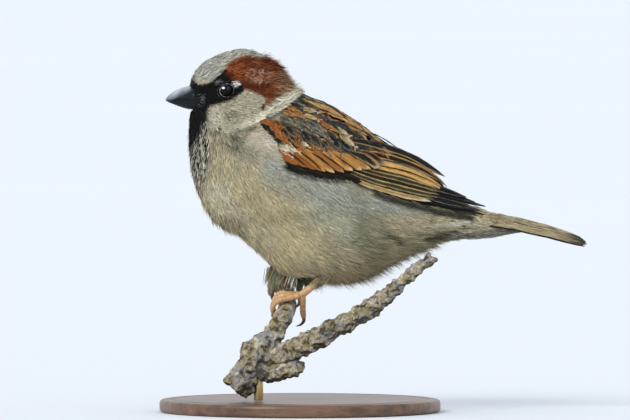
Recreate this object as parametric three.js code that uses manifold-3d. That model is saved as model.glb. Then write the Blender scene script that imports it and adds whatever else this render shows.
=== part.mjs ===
// House sparrow, adult male, life size, gripping a short cut length of twig over a plain display stand.
// Millimetres, +Z up. The bird looks along -X, its left side is towards -Y, and the origin is the middle
// of the stand's underside.
import * as THREE from "three";
import { mergeVertices } from "three/addons/utils/BufferGeometryUtils.js";
import Module from "manifold-3d";

const wasm = await Module();
wasm.setup();

// ---- driving dimensions -------------------------------------------------------------------------

const gap = 0.3; // between neighbouring solids
const eyeRadius = 2.6; // the ball that shows as a disc of about 4 mm between the lids
const eyeProud = 0.75; // how far the ball stands out of the feathered head
const eyeAt = { x: -23.6, z: 103.3 };
const billHalfWidth = 3.8;
const wingProud = 0.5; // the folded wing stands this far out of the flank feathers
const covertThickness = 1.5;
const primaryThickness = 1.2;
const tailThickness = 1.1;
const clawRadii = [0.68, 0.45, 0.28];
const standRadius = 45;
const standThickness = 4;
const rodRadius = 1.5;

// Each station is a slice through the feathered bird: its upper and lower point in the side view, its
// half width, and how far its widest level lies below the middle, as a share of its height.
const headStations = [
  { top: [-34.9, 104.3], low: [-35.0, 97.1], half: 4.0, drop: 0 },
  { top: [-33.9, 108.2], low: [-35.2, 95.4], half: 5.6, drop: 0.02 },
  { top: [-31.7, 111.4], low: [-33.9, 93.1], half: 7.1, drop: 0.05 },
  { top: [-28.5, 113.8], low: [-32.0, 90.9], half: 8.6, drop: 0.08 },
  { top: [-24.0, 115.5], low: [-29.4, 88.3], half: 10.1, drop: 0.1 },
  { top: [-17.9, 116.5], low: [-25.0, 86.4], half: 11.5, drop: 0.1 },
  { top: [-12.2, 114.6], low: [-18.6, 86.4], half: 12.1, drop: 0.08 },
  { top: [-6.7, 112.5], low: [-12.2, 88.3], half: 11.2, drop: 0.05 },
  { top: [-2.6, 107.9], low: [-6.4, 91.5], half: 8.8, drop: 0.02 },
  { top: [0.0, 103.0], low: [-1.3, 96.0], half: 4.6, drop: 0 },
];
const bodyStations = [
  { top: [-2.2, 105.6], low: [-35.2, 96.6], half: 7.4, drop: 0 },
  { top: [0.0, 103.7], low: [-35.8, 94.1], half: 9.0, drop: 0 },
  { top: [2.6, 101.4], low: [-36.0, 87.0], half: 11.6, drop: -0.02 },
  { top: [5.8, 99.8], low: [-35.5, 79.7], half: 15.0, drop: -0.04 },
  { top: [9.6, 98.2], low: [-33.9, 72.0], half: 18.4, drop: -0.04 },
  { top: [14.4, 95.7], low: [-30.2, 63.2], half: 21.0, drop: -0.02 },
  { top: [19.8, 92.2], low: [-24.3, 58.6], half: 22.2, drop: 0 },
  { top: [25.6, 88.0], low: [-14.6, 51.4], half: 22.4, drop: 0.03 },
  { top: [31.4, 85.1], low: [-3.8, 42.2], half: 21.6, drop: 0.05 },
  { top: [36.5, 82.6], low: [7.0, 39.7], half: 19.8, drop: 0.06 },
  { top: [41.0, 79.7], low: [17.6, 40.5], half: 17.0, drop: 0.06 },
  { top: [44.8, 76.5], low: [26.9, 44.2], half: 13.8, drop: 0.05 },
  { top: [48.0, 72.0], low: [33.9, 49.3], half: 11.2, drop: 0.03 },
  { top: [51.2, 69.4], low: [41.0, 52.8], half: 9.4, drop: 0 },
  { top: [55.0, 67.5], low: [49.9, 55.0], half: 8.2, drop: 0 },
  { top: [59.8, 64.6], low: [58.2, 56.0], half: 7.0, drop: 0 },
  { top: [63.4, 63.0], low: [64.0, 57.3], half: 5.6, drop: 0 },
];

// ---- solids and cuts ----------------------------------------------------------------------------

// A closed geometry as a manifold-3d solid that faces outwards.
function solidOf(geometry) {
  const bare = geometry.clone();
  for (const name of Object.keys(bare.attributes)) {
    if (name !== "position") bare.deleteAttribute(name);
  }
  const merged = mergeVertices(bare, 1e-4);
  const triVerts = new Uint32Array(merged.index.array);
  const build = () =>
    new wasm.Manifold(
      new wasm.Mesh({ numProp: 3, vertProperties: merged.attributes.position.array, triVerts }),
    );
  const made = build();
  if (made.volume() > 0) return made;
  for (let i = 0; i < triVerts.length; i += 3) {
    [triVerts[i + 1], triVerts[i + 2]] = [triVerts[i + 2], triVerts[i + 1]];
  }
  return build();
}

function geometryOf(solid) {
  const mesh = solid.getMesh();
  const geometry = new THREE.BufferGeometry()
    .setAttribute("position", new THREE.BufferAttribute(mesh.vertProperties, 3))
    .setIndex(new THREE.BufferAttribute(mesh.triVerts, 1));
  geometry.computeVertexNormals();
  return geometry;
}

const joined = (solids) => solids.reduce((all, next) => all.add(next));
const mirrored = (solid) => solid.mirror([0, 1, 0]);

// The largest piece, without the slivers that a cut shaves off and without needless small faces.
function mainPiece(solid) {
  const pieces = solid.decompose();
  return pieces.reduce((best, piece) => (piece.volume() > best.volume() ? piece : best)).simplify(0.06);
}

// A solid grown by the gap, as the union of shifted copies.
function grown(solid) {
  const steps = [
    [gap, 0, 0],
    [-gap, 0, 0],
    [0, gap, 0],
    [0, -gap, 0],
    [0, 0, gap],
    [0, 0, -gap],
  ];
  return joined([solid, ...steps.map((step) => solid.translate(step))]);
}

// Closed rings of points, joined side by side and closed with a point in the middle of each end.
function skinOver(rings) {
  const count = rings[0].length;
  const places = rings.flat();
  const middle = (ring) =>
    ring.reduce((sum, p) => sum.add(p), new THREE.Vector3()).divideScalar(ring.length);
  places.push(middle(rings[0]), middle(rings.at(-1)));
  const [startPole, endPole] = [places.length - 2, places.length - 1];
  const last = (rings.length - 1) * count;
  const index = [];
  for (let j = 0; j < count; j++) {
    const next = (j + 1) % count;
    index.push(startPole, next, j, endPole, last + j, last + next);
    for (let i = 0; i < rings.length - 1; i++) {
      const a = i * count;
      const b = a + count;
      index.push(a + j, a + next, b + j, a + next, b + next, b + j);
    }
  }
  const position = new Float32Array(places.flatMap((p) => p.toArray()));
  return new THREE.BufferGeometry()
    .setAttribute("position", new THREE.BufferAttribute(position, 3))
    .setIndex(index);
}

// ---- lofts through the stations -----------------------------------------------------------------

// A smooth run of three of the stations' numbers, as a function of 0 to 1.
function runOf(stations, pick) {
  const curve = new THREE.CatmullRomCurve3(
    stations.map((s) => new THREE.Vector3(...pick(s))),
    false,
    "catmullrom",
    0.5,
  );
  return (u) => curve.getPoint(u);
}

function loftRings(stations, { steps, sides, outset = 0 }) {
  const tops = runOf(stations, (s) => [s.top[0], s.half, s.top[1]]);
  const lows = runOf(stations, (s) => [s.low[0], s.drop, s.low[1]]);
  const rings = [];
  for (let i = 0; i <= steps; i++) {
    const [top, low] = [tops(i / steps), lows(i / steps)];
    const [half, drop] = [top.y + outset, low.y];
    top.y = low.y = 0;
    const across = low.clone().sub(top).normalize().multiplyScalar(outset);
    top.sub(across);
    low.add(across);
    const ring = [];
    for (let j = 0; j < sides; j++) {
      const angle = (2 * Math.PI * j) / sides;
      const down = 0.5 - 0.5 * Math.cos(angle) + drop * Math.sin(angle) ** 2;
      const point = top.clone().lerp(low, down);
      point.y = half * Math.sin(angle);
      ring.push(point);
    }
    rings.push(ring);
  }
  return rings;
}

const headFineness = { steps: 14, sides: 18 };
const bodyFineness = { steps: 20, sides: 22 };
const bodyAt = (outset) => solidOf(skinOver(loftRings(bodyStations, { ...bodyFineness, outset })));
const headSolid = solidOf(skinOver(loftRings(headStations, headFineness)));

// A tube along points, its radius running evenly through the list of radii.
function taperedTube(points, radii, sides, steps, outset = 0) {
  const curve = new THREE.CatmullRomCurve3(points, false, "catmullrom", 0.5);
  const frames = curve.computeFrenetFrames(steps, false);
  const rings = [];
  for (let i = 0; i <= steps; i++) {
    const u = i / steps;
    const at = u * (radii.length - 1);
    const k = Math.min(Math.floor(at), radii.length - 2);
    const radius = THREE.MathUtils.lerp(radii[k], radii[k + 1], at - k) + outset;
    const ring = [];
    for (let j = 0; j < sides; j++) {
      const angle = (2 * Math.PI * j) / sides;
      ring.push(
        curve
          .getPoint(u)
          .addScaledVector(frames.normals[i], radius * Math.cos(angle))
          .addScaledVector(frames.binormals[i], radius * Math.sin(angle)),
      );
    }
    rings.push(ring);
  }
  return solidOf(skinOver(rings));
}

const point = (x, y, z) => new THREE.Vector3(x, y, z);

// A prism of a side-view outline, from the middle plane out past the bird's left side.
function sidePrism(outline, width = 40) {
  const shape = new THREE.Shape(outline.map(([x, z]) => new THREE.Vector2(x, z)));
  const prism = new THREE.ExtrudeGeometry(shape, { depth: width, bevelEnabled: false });
  return solidOf(prism.rotateX(Math.PI / 2));
}

// A prism of a plan-view outline, tall enough for the whole bird.
function planPrism(outline, height = 140) {
  const shape = new THREE.Shape(outline.map(([x, y]) => new THREE.Vector2(x, y)));
  return solidOf(new THREE.ExtrudeGeometry(shape, { depth: height, bevelEnabled: false }));
}

// ---- folded wings -------------------------------------------------------------------------------

// The mantle shows between the wings: wide at the shoulders and closed behind the tertials.
const besideMantle = planPrism([
  [-30, -40],
  [70, -40],
  [70, -3.4],
  [50, -2.2],
  [35, -1.6],
  [6, -6.5],
  [-30, -9],
]);
const covertOutline = [
  [-13.4, 92.2],
  [-9.6, 88.2],
  [-5.4, 83.4],
  [-2.6, 79.6],
  [6.4, 75.3],
  [12.8, 73.6],
  [16.6, 74.6],
  [17.4, 77.2],
  [23.2, 78.2],
  [30.4, 84.6],
  [34.5, 92],
  [34, 110],
  [-2, 110],
  [-9, 98],
];
const secondaryOutline = [
  [17.6, 73.2],
  [24, 70.6],
  [32, 68.2],
  [42.2, 65.6],
  [45.4, 66.6],
  [49, 71],
  [48.4, 77],
  [44, 90],
  [35, 92],
  [30.9, 84.4],
  [23.5, 77.7],
  [17.9, 76.8],
];
const primaryOutline = [
  [-4.6, 80.2],
  [1, 76],
  [6.4, 73.9],
  [17.6, 71.9],
  [32, 66.9],
  [44.8, 64.4],
  [58.6, 62.9],
  [60.2, 64.2],
  [59, 68.5],
  [48, 82],
  [20, 84],
  [-2, 86],
];

const covertShell = bodyAt(wingProud).subtract(bodyAt(wingProud - covertThickness));
const primaryOuter = wingProud - covertThickness - gap;
const primaryShell = bodyAt(primaryOuter).subtract(bodyAt(primaryOuter - primaryThickness));
const underWings = bodyAt(primaryOuter - primaryThickness - gap);

const wingArea = {
  coverts: sidePrism(covertOutline).intersect(besideMantle),
  secondaries: sidePrism(secondaryOutline).intersect(besideMantle),
  primaries: sidePrism(primaryOutline).intersect(besideMantle),
};
const leftWing = {
  coverts: mainPiece(covertShell.intersect(wingArea.coverts)),
  secondaries: mainPiece(covertShell.intersect(wingArea.secondaries)),
  primaries: mainPiece(primaryShell.intersect(wingArea.primaries)),
};
const wingPocket = grown(joined(Object.values(wingArea))).subtract(underWings);

// ---- bill ---------------------------------------------------------------------------------------

const billStations = [
  { top: [-43.1, 99.9], low: [-43.0, 99.4], half: 0.25, drop: 0 },
  { top: [-42.2, 101.2], low: [-41.8, 98.9], half: 0.95, drop: 0 },
  { top: [-39.9, 102.7], low: [-40.0, 98.2], half: 1.9, drop: 0 },
  { top: [-37.2, 104.0], low: [-37.6, 97.3], half: 2.9, drop: 0.02 },
  { top: [-34.9, 105.1], low: [-35.0, 96.7], half: billHalfWidth, drop: 0.04 },
  { top: [-31.6, 105.3], low: [-31.8, 96.9], half: billHalfWidth - 0.2, drop: 0.04 },
];
const billAt = (outset) => solidOf(skinOver(loftRings(billStations, { steps: 8, sides: 12, outset })));
const bill = billAt(0);

// The line of the closed mouth, as a thin wavy cut across the bill.
const mouthLine = [
  [-45, 99.9],
  [-42.6, 99.6],
  [-39, 99.8],
  [-35.6, 99.9],
  [-33, 99.2],
  [-28, 97.4],
];
function aboveMouth(lift) {
  const line = mouthLine.map(([x, z]) => [x, z + lift]);
  return sidePrism([...line, [-28, 112], [-45, 112]], 12).translate([0, 6, 0]);
}
const billUpper = mainPiece(bill.intersect(aboveMouth(gap / 2)));
const billLower = mainPiece(bill.subtract(aboveMouth(-gap / 2)));

// ---- eyes ---------------------------------------------------------------------------------------

// How far the head reaches sideways at a place in the side view, found on its finest slice there.
function headHalfWidthAt({ x, z }) {
  const rings = loftRings(headStations, { steps: 60, sides: 90 });
  let best = { distance: Infinity, half: 0 };
  for (const spot of rings.flat()) {
    const distance = Math.hypot(spot.x - x, spot.z - z);
    if (spot.y > 0 && distance < best.distance) best = { distance, half: spot.y };
  }
  return best.half;
}
const eyeCentre = headHalfWidthAt(eyeAt) + eyeProud - eyeRadius;
function eyeSphere(radius) {
  const sphere = new THREE.SphereGeometry(radius, 12, 8).rotateX(Math.PI / 2);
  return solidOf(sphere.translate(eyeAt.x, -eyeCentre, eyeAt.z));
}
const eyeBall = eyeSphere(eyeRadius);
const eyeSocket = eyeSphere(eyeRadius + gap);

// ---- perch and stand ----------------------------------------------------------------------------

// Where each foot grips: the twig's middle there, and the twig's direction, which runs to the far side.
const grips = {
  left: { at: point(-4.1, -7.5, 33.4), along: point(0.06, 0.84, 0.4).normalize() },
  right: { at: point(-5.0, 7.5, 38.8), along: point(-0.2, 0.93, 0.3).normalize() },
};
const twigRadiusAtFeet = 2.9;

const perchShapes = {
  branch: {
    path: [
      point(-20.6, -14.8, 7.9),
      point(-15.8, -15.2, 14.2),
      point(-12.4, -15, 19.8),
      point(-10.4, -14.6, 25),
    ],
    radii: [4.9, 4.7, 4.5, 3.3],
    steps: 6,
  },
  stub: {
    path: [point(-14.4, -15.6, 15.2), point(-16.4, -16, 19.6), point(-17.0, -16, 23.0)],
    radii: [3.2, 3.2, 2.5],
    steps: 4,
  },
  spur: {
    path: [point(-12, -16.4, 12.6), point(-4, -18.6, 13.6), point(1.6, -19.6, 16)],
    radii: [2.8, 2.4, 1.3],
    steps: 4,
  },
  gripTwig: {
    path: [
      point(-11.4, -14.8, 21),
      point(-8.4, -14.0, 25.6),
      point(-5.6, -11.2, 30.2),
      grips.left.at,
      point(-3.9, 0.2, 36.6),
      grips.right.at,
      point(-6.9, 12.2, 40.8),
      point(-8.2, 14.8, 42),
    ],
    radii: [3.2, 3.1, 3.0, twigRadiusAtFeet, 2.7, twigRadiusAtFeet, 2.8, 2.2],
    steps: 13,
  },
  sideTwig: {
    path: [
      point(-12.4, -15.4, 16.6),
      point(-3, -16, 19.8),
      point(8.6, -16.2, 26),
      point(19, -16.4, 31.6),
      point(27.2, -16.8, 37.3),
      point(35, -17, 44.6),
      point(42.4, -17, 50.4),
    ],
    radii: [3.8, 3.6, 3.3, 3.1, 2.6, 2.0, 1.9],
    steps: 9,
  },
};
function perchAt(outset) {
  const solids = {};
  for (const [name, { path, radii, steps }] of Object.entries(perchShapes)) {
    solids[name] = taperedTube(path, radii, 9, steps, outset);
  }
  return solids;
}

// The rod stands just on the base and ends inside the branch, in a drilled hole.
const rodFoot = [-13.2, -14.8];
const rodTop = 17;
const rodLength = rodTop - standThickness - gap;
function rodAt(radius, lift) {
  const cylinder = new THREE.CylinderGeometry(radius, radius, rodLength, 12).rotateX(Math.PI / 2);
  return solidOf(cylinder.translate(...rodFoot, standThickness + gap + rodLength / 2 + lift));
}
const rod = rodAt(rodRadius, 0);
const rodHole = rodAt(rodRadius + gap, gap);

const standProfile = [
  [0, 0],
  [standRadius, 0],
  [standRadius, standThickness - 1.2],
  [standRadius - 1.2, standThickness],
  [0, standThickness],
].map(([r, z]) => new THREE.Vector2(r, z));
const standBase = solidOf(new THREE.LatheGeometry(standProfile, 32).rotateX(Math.PI / 2));

// ---- legs and feet ------------------------------------------------------------------------------

// In the plane square to the twig, a place is (forward, up) from the twig's middle.
const knuckleAt = [-4.9, 4.9];
const knuckleRadius = 1.3;
const toes = [
  { to: 98, shift: 2.5, radius: 0.85 },
  { to: 126, shift: 0, radius: 1.0 },
  { to: 102, shift: -2.5, radius: 0.85 },
];
const toeRide = twigRadiusAtFeet + gap + 1.15; // a front toe's middle line round the twig
const hindToe = [
  [-5.1, 2.4],
  [-5.0, -0.6],
  [-5.2, -3.4],
];
const hindClaw = [
  [-5.2, -3.1],
  [-5.0, -4.6],
  [-4.1, -5.8],
  [-2.6, -6.4],
];
const clawSweep = 50; // degrees round the twig

// A place round the twig, shifted along it.
function nearTwig(grip, [forward, up], shift = 0) {
  const rise = point(0, 0, 1).addScaledVector(grip.along, -grip.along.z).normalize();
  const front = grip.along.clone().cross(rise).normalize();
  if (front.x > 0) front.negate();
  const place = grip.at.clone().addScaledVector(rise, up).addScaledVector(front, forward);
  return place.addScaledVector(grip.along, shift);
}

// Places on an arc round the twig: 0 degrees is its top and the angle grows over its front.
function arcPlaces(radiusAt, from, to, count) {
  return Array.from({ length: count }, (_, i) => {
    const u = i / (count - 1);
    const angle = THREE.MathUtils.degToRad(from + (to - from) * u);
    return [radiusAt(u) * Math.sin(angle), radiusAt(u) * Math.cos(angle)];
  });
}

function footSolids(grip, inward, ankle, outset = 0) {
  const knuckle = nearTwig(grip, knuckleAt);
  const ball = new THREE.SphereGeometry(knuckleRadius + outset, 7, 5).translate(...knuckle);
  const tubes = [solidOf(ball)];
  const claw = (places, shift) => {
    const spots = places.map((place) => nearTwig(grip, place, shift));
    tubes.push(taperedTube(spots, clawRadii, 5, 3, outset));
  };
  for (const { to, shift: away, radius } of toes) {
    const shift = away * inward;
    const path = arcPlaces((u) => toeRide + 0.3 * Math.sin(Math.PI * u), -4, to, 6);
    const spots = path.map((place, i) => nearTwig(grip, place, shift * Math.min(1, 0.55 + 0.3 * i)));
    const radii = [1.15, radius + 0.1, radius, 0.8 * radius];
    tubes.push(taperedTube([knuckle, ...spots], radii, 6, 7, outset));
    const hook = (u) => toeRide + 0.7 * Math.sin(Math.PI * u) - 0.6 * u;
    claw(arcPlaces(hook, to - 4, to + 4 + clawSweep, 5), shift);
  }
  const hind = hindToe.map((place) => nearTwig(grip, place));
  tubes.push(taperedTube([knuckle, ...hind], [1.15, 1.05, 0.95, 0.85], 6, 5, outset));
  claw(hindClaw, 0);
  const shankStart = knuckle.clone().addScaledVector(ankle.clone().sub(knuckle).normalize(), 0.9);
  const shankPath = [shankStart, shankStart.clone().lerp(ankle, 0.5), ankle];
  const shank = taperedTube(shankPath, [1.2, 1.05, 1.15], 9, 3, outset);
  return { toes: joined(tubes), shank };
}

const ankles = { left: point(15.6, -10.2, 49.8), right: point(12.4, 9.8, 54.6) };
const inward = { left: 1, right: -1 };
const feet = {};
const legRooms = {}; // what a leg and its foot take up in the belly feathers
for (const side of ["left", "right"]) {
  const exact = footSolids(grips[side], inward[side], ankles[side]);
  const room = footSolids(grips[side], inward[side], ankles[side], gap);
  feet[side] = { foot: mainPiece(exact.toes.subtract(room.shank)), shank: exact.shank };
  legRooms[side] = room.toes.add(room.shank);
}

// ---- head, neck, trunk and vent: one body parted by thin cuts -----------------------------------

const flesh = headSolid
  .add(bodyAt(0))
  .subtract(wingPocket)
  .subtract(mirrored(wingPocket))
  .subtract(billAt(gap))
  .subtract(eyeSocket)
  .subtract(mirrored(eyeSocket))
  .subtract(legRooms.left)
  .subtract(legRooms.right)
  .subtract(perchAt(gap).gripTwig);

// A cut is a plane square to the side view, through a top and a low point. Each side keeps half a gap off.
function cutPlane([top, low]) {
  const normal = new THREE.Vector2(top[1] - low[1], low[0] - top[0]).normalize();
  return { normal, offset: normal.x * top[0] + normal.y * top[1] };
}
function behind(solid, cut) {
  const { normal, offset } = cutPlane(cut);
  return solid.trimByPlane([normal.x, 0, normal.y], offset + gap / 2);
}
function inFront(solid, cut) {
  const { normal, offset } = cutPlane(cut);
  return solid.trimByPlane([-normal.x, 0, -normal.y], gap / 2 - offset);
}
const cuts = {
  head: [
    [2.5, 101.5],
    [-36, 84.5],
  ],
  neck: [
    [9, 99],
    [-35, 72],
  ],
  vent: [
    [44, 76],
    [24, 42],
  ],
};
const head = mainPiece(inFront(flesh, cuts.head));
const neck = mainPiece(inFront(behind(flesh, cuts.head), cuts.neck));
const trunk = mainPiece(inFront(behind(flesh, cuts.neck), cuts.vent));

// ---- tail ---------------------------------------------------------------------------------------

// The closed tail is a low roof: the middle pair of feathers on top, the outer ones lower at each side.
const tailStations = [
  { at: [47, 64.9], half: 3.6, fall: 1.6 },
  { at: [60.2, 63.3], half: 5.6, fall: 3.4 },
  { at: [69.1, 62.4], half: 7.2, fall: 4.0 },
  { at: [79.4, 59.7], half: 8.2, fall: 3.2 },
  { at: [87.0, 57.1], half: 8.8, fall: 2.5 },
  { at: [92.0, 54.9], half: 8.6, fall: 1.5 },
];
function roofRings(steps, sides, outset = 0) {
  const ridge = runOf(tailStations, (s) => [s.at[0], 0, s.at[1]]);
  const edge = runOf(tailStations, (s) => [s.half, s.fall, 0]);
  const rings = [];
  for (let i = 0; i <= steps; i++) {
    const middle = ridge(i / steps);
    const { x: inner, y: fall } = edge(i / steps);
    const halfWidth = inner + outset;
    const roofAt = (v, lift) => point(middle.x, v * halfWidth, middle.z - fall * v * v + lift);
    const across = Array.from({ length: sides + 1 }, (_, j) => (2 * j) / sides - 1);
    const thickness = (v) => tailThickness * (1.5 - 0.5 * v * v);
    const upper = across.map((v) => roofAt(v, outset));
    const lower = across.toReversed().map((v) => roofAt(v, -thickness(v) - outset));
    rings.push([...upper, ...lower]);
  }
  return rings;
}
const wholeTail = solidOf(skinOver(roofRings(9, 8)));

// The end of the closed tail is notched a little, deepest in the middle.
const tailEnd = planPrism([
  [40, -20],
  [91.4, -20],
  [92, -6],
  [89.6, 0],
  [92, 6],
  [91.4, 20],
  [40, 20],
]);
const tail = mainPiece(wholeTail.intersect(tailEnd));
const tailSplit = 2.6; // half the width of the middle pair
const strip = (from, to) =>
  planPrism([
    [40, from],
    [100, from],
    [100, to],
    [40, to],
  ]);
const tailParts = {
  tail_middle_feathers: mainPiece(tail.intersect(strip(-tailSplit, tailSplit))),
  tail_left_feathers: mainPiece(tail.intersect(strip(-20, -tailSplit - gap))),
  tail_right_feathers: mainPiece(tail.intersect(strip(tailSplit + gap, 20))),
};

// The feathers over and under the tail's root close round it, and the wing tips lie along its sides.
const tailRoom = solidOf(skinOver(roofRings(9, 8, gap)));
const vent = mainPiece(behind(flesh, cuts.vent).subtract(tailRoom));
const leftPrimaries = mainPiece(leftWing.primaries.subtract(tailRoom));

// ---- perch joined up, with the feet and the rod let in ------------------------------------------

function perchNodes() {
  const [solids, rooms] = [perchAt(0), perchAt(gap)];
  const branch = joined([solids.branch, solids.stub, solids.spur]).subtract(rodHole);
  const branchRoom = joined([rooms.branch, rooms.stub, rooms.spur, rodHole]);
  return {
    perch_branch: mainPiece(branch),
    perch_grip_twig: mainPiece(solids.gripTwig.subtract(branchRoom)),
    perch_side_twig: mainPiece(solids.sideTwig.subtract(branchRoom).subtract(rooms.gripTwig)),
  };
}

// ---- the scene graph ----------------------------------------------------------------------------

const finishes = {
  grey: new THREE.MeshStandardMaterial({ color: 0xa7a291, roughness: 0.9, metalness: 0 }),
  crown: new THREE.MeshStandardMaterial({ color: 0x8f8c84, roughness: 0.9, metalness: 0 }),
  chestnut: new THREE.MeshStandardMaterial({ color: 0x9a5426, roughness: 0.85, metalness: 0 }),
  brown: new THREE.MeshStandardMaterial({ color: 0x6b5437, roughness: 0.8, metalness: 0 }),
  dark: new THREE.MeshStandardMaterial({ color: 0x35322f, roughness: 0.75, metalness: 0 }),
  tail: new THREE.MeshStandardMaterial({ color: 0x7d6c4b, roughness: 0.8, metalness: 0 }),
  bill: new THREE.MeshStandardMaterial({ color: 0x2b2e33, roughness: 0.4, metalness: 0 }),
  eye: new THREE.MeshStandardMaterial({ color: 0x0d0908, roughness: 0.05, metalness: 0 }),
  leg: new THREE.MeshStandardMaterial({ color: 0xc07a45, roughness: 0.6, metalness: 0 }),
  bark: new THREE.MeshStandardMaterial({ color: 0x8a8577, roughness: 0.95, metalness: 0 }),
  wood: new THREE.MeshStandardMaterial({ color: 0x6d4a2e, roughness: 0.5, metalness: 0 }),
  brass: new THREE.MeshStandardMaterial({ color: 0xb08d4f, roughness: 0.3, metalness: 1 }),
};

const sparrow = new THREE.Group();
function add(name, solid, material) {
  const mesh = new THREE.Mesh(geometryOf(solid), material);
  mesh.name = name;
  sparrow.add(mesh);
}

add("head", head, finishes.crown);
add("bill_upper", billUpper, finishes.bill);
add("bill_lower", billLower, finishes.bill);
add("eye_left", eyeBall, finishes.eye);
add("eye_right", mirrored(eyeBall), finishes.eye);
add("neck", neck, finishes.grey);
add("trunk", trunk, finishes.grey);
add("vent", vent, finishes.grey);
for (const [side, turn] of [
  ["left", (solid) => solid],
  ["right", mirrored],
]) {
  add(`wing_${side}_coverts`, turn(leftWing.coverts), finishes.chestnut);
  add(`wing_${side}_secondaries`, turn(leftWing.secondaries), finishes.brown);
  add(`wing_${side}_primaries`, turn(leftPrimaries), finishes.dark);
  add(`leg_${side}`, feet[side].shank, finishes.leg);
  add(`foot_${side}`, feet[side].foot, finishes.leg);
}
for (const [name, solid] of Object.entries(tailParts)) add(name, solid, finishes.tail);
for (const [name, solid] of Object.entries(perchNodes())) add(name, solid, finishes.bark);
add("stand_base", standBase, finishes.wood);
add("stand_rod", rod, finishes.brass);

export default sparrow;
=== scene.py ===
import math

import bpy
import numpy as np
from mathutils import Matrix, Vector, noise
from mathutils.bvhtree import BVHTree
from mathutils.kdtree import KDTree


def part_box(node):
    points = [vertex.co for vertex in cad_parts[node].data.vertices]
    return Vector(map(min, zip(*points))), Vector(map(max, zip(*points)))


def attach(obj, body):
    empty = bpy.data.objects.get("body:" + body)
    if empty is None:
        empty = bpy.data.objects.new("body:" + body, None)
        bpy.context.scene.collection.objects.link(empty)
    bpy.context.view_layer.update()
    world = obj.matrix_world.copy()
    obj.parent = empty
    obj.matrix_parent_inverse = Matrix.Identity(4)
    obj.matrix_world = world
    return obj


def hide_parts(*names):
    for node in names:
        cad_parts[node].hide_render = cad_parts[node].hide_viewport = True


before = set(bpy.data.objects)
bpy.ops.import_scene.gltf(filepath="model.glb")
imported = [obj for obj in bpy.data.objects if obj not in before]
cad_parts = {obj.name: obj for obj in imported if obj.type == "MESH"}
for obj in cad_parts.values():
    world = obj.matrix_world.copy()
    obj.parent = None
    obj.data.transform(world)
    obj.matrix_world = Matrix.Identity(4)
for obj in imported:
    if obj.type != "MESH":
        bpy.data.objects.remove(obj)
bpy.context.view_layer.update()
mm = 0.001
chance = np.random.default_rng(20)


# small helpers

def nothingPicked():
    if bpy.context.mode != "OBJECT":
        bpy.ops.object.mode_set(mode="OBJECT")
    bpy.ops.object.select_all(action="DESELECT")


def pick(piece):
    nothingPicked()
    piece.select_set(True)
    bpy.context.view_layer.objects.active = piece


def applyOn(piece, kind, **settings):
    pick(piece)
    bpy.ops.object.modifier_add(type=kind)
    modifier = piece.modifiers[-1]
    for key, value in settings.items():
        setattr(modifier, key, value)
    bpy.ops.object.modifier_apply(modifier=modifier.name)


def inEditMode(operator, **settings):
    bpy.ops.object.mode_set(mode="EDIT")
    bpy.ops.mesh.select_all(action="SELECT")
    operator(**settings)
    bpy.ops.object.mode_set(mode="OBJECT")


def placeApplied(piece):
    pick(piece)
    bpy.ops.object.transform_apply(location=True, rotation=True, scale=True)


def joined(pieces):
    pick(pieces[0])
    for piece in pieces:
        piece.select_set(True)
    if len(pieces) > 1:
        bpy.ops.object.join()
    return bpy.context.view_layer.objects.active


def copyOfNodes(name, nodeNames):
    copies = []
    for nodeName in nodeNames:
        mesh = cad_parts[nodeName].data.copy()
        copy = bpy.data.objects.new(name, mesh)
        bpy.context.collection.objects.link(copy)
        copies.append(copy)
    piece = joined(copies)
    piece.name = name
    piece.data.name = name
    piece.data.materials.clear()
    inEditMode(bpy.ops.mesh.remove_doubles, threshold=1e-6)
    return piece


def smoothShaded(piece, angle=180):
    pick(piece)
    bpy.ops.object.shade_smooth_by_angle(angle=math.radians(angle))


def limited(values):
    return np.clip(values, 0, 1)


def unit(v):
    return v / np.maximum(np.linalg.norm(v, axis=-1, keepdims=True), 1e-9)


def dot(a, b):
    return (a * b).sum(-1, keepdims=True)


def vertsOf(piece):
    co = np.empty(len(piece.data.vertices) * 3, np.float32)
    piece.data.vertices.foreach_get("co", co)
    return co.reshape(-1, 3).astype(float) / mm


def setVerts(piece, points):
    piece.data.vertices.foreach_set("co", (points * mm).astype(np.float32).ravel())
    piece.data.update()


def finishPiece(piece, material, replaced=()):
    if material:
        piece.data.materials.clear()
        piece.data.materials.append(material)
    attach(piece, "root")
    if replaced:
        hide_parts(*replaced)


def meshFromArrays(name, points, quads, tris):
    mesh = bpy.data.meshes.new(name)
    mesh.vertices.add(len(points))
    mesh.vertices.foreach_set("co", (points * mm).astype(np.float32).ravel())
    loops = np.concatenate([quads.ravel(), tris.ravel()]).astype(np.int32)
    mesh.loops.add(len(loops))
    mesh.loops.foreach_set("vertex_index", loops)
    starts = np.concatenate([np.arange(len(quads)) * 4, len(quads) * 4 + np.arange(len(tris)) * 3])
    mesh.polygons.add(len(starts))
    mesh.polygons.foreach_set("loop_start", starts.astype(np.int32))
    mesh.polygons.foreach_set("use_smooth", np.ones(len(starts), bool))
    mesh.update(calc_edges=True)
    mesh.validate()
    piece = bpy.data.objects.new(name, mesh)
    bpy.context.collection.objects.link(piece)
    return piece, loops


def addTone(piece, name, tones):
    rgba = np.ones((len(tones), 4), np.float32)
    rgba[:, :3] = limited(tones)
    layer = piece.data.color_attributes.new(name=name, type="FLOAT_COLOR", domain="POINT")
    layer.data.foreach_set("color", rgba.ravel())


def addUv(piece, name, perLoop):
    layer = piece.data.uv_layers.new(name=name)
    layer.data.foreach_set("uv", perLoop.astype(np.float32).ravel())


# materials: these helpers add to the node tree of the newest one

graph = {}


def newMaterial(name, **sockets):
    material = bpy.data.materials.new(name)
    material.use_nodes = True
    graph["tree"] = material.node_tree
    shader = material.node_tree.nodes["Principled BSDF"]
    for key, value in sockets.items():
        shader.inputs[key.replace("_", " ")].default_value = value
    return material, shader


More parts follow.
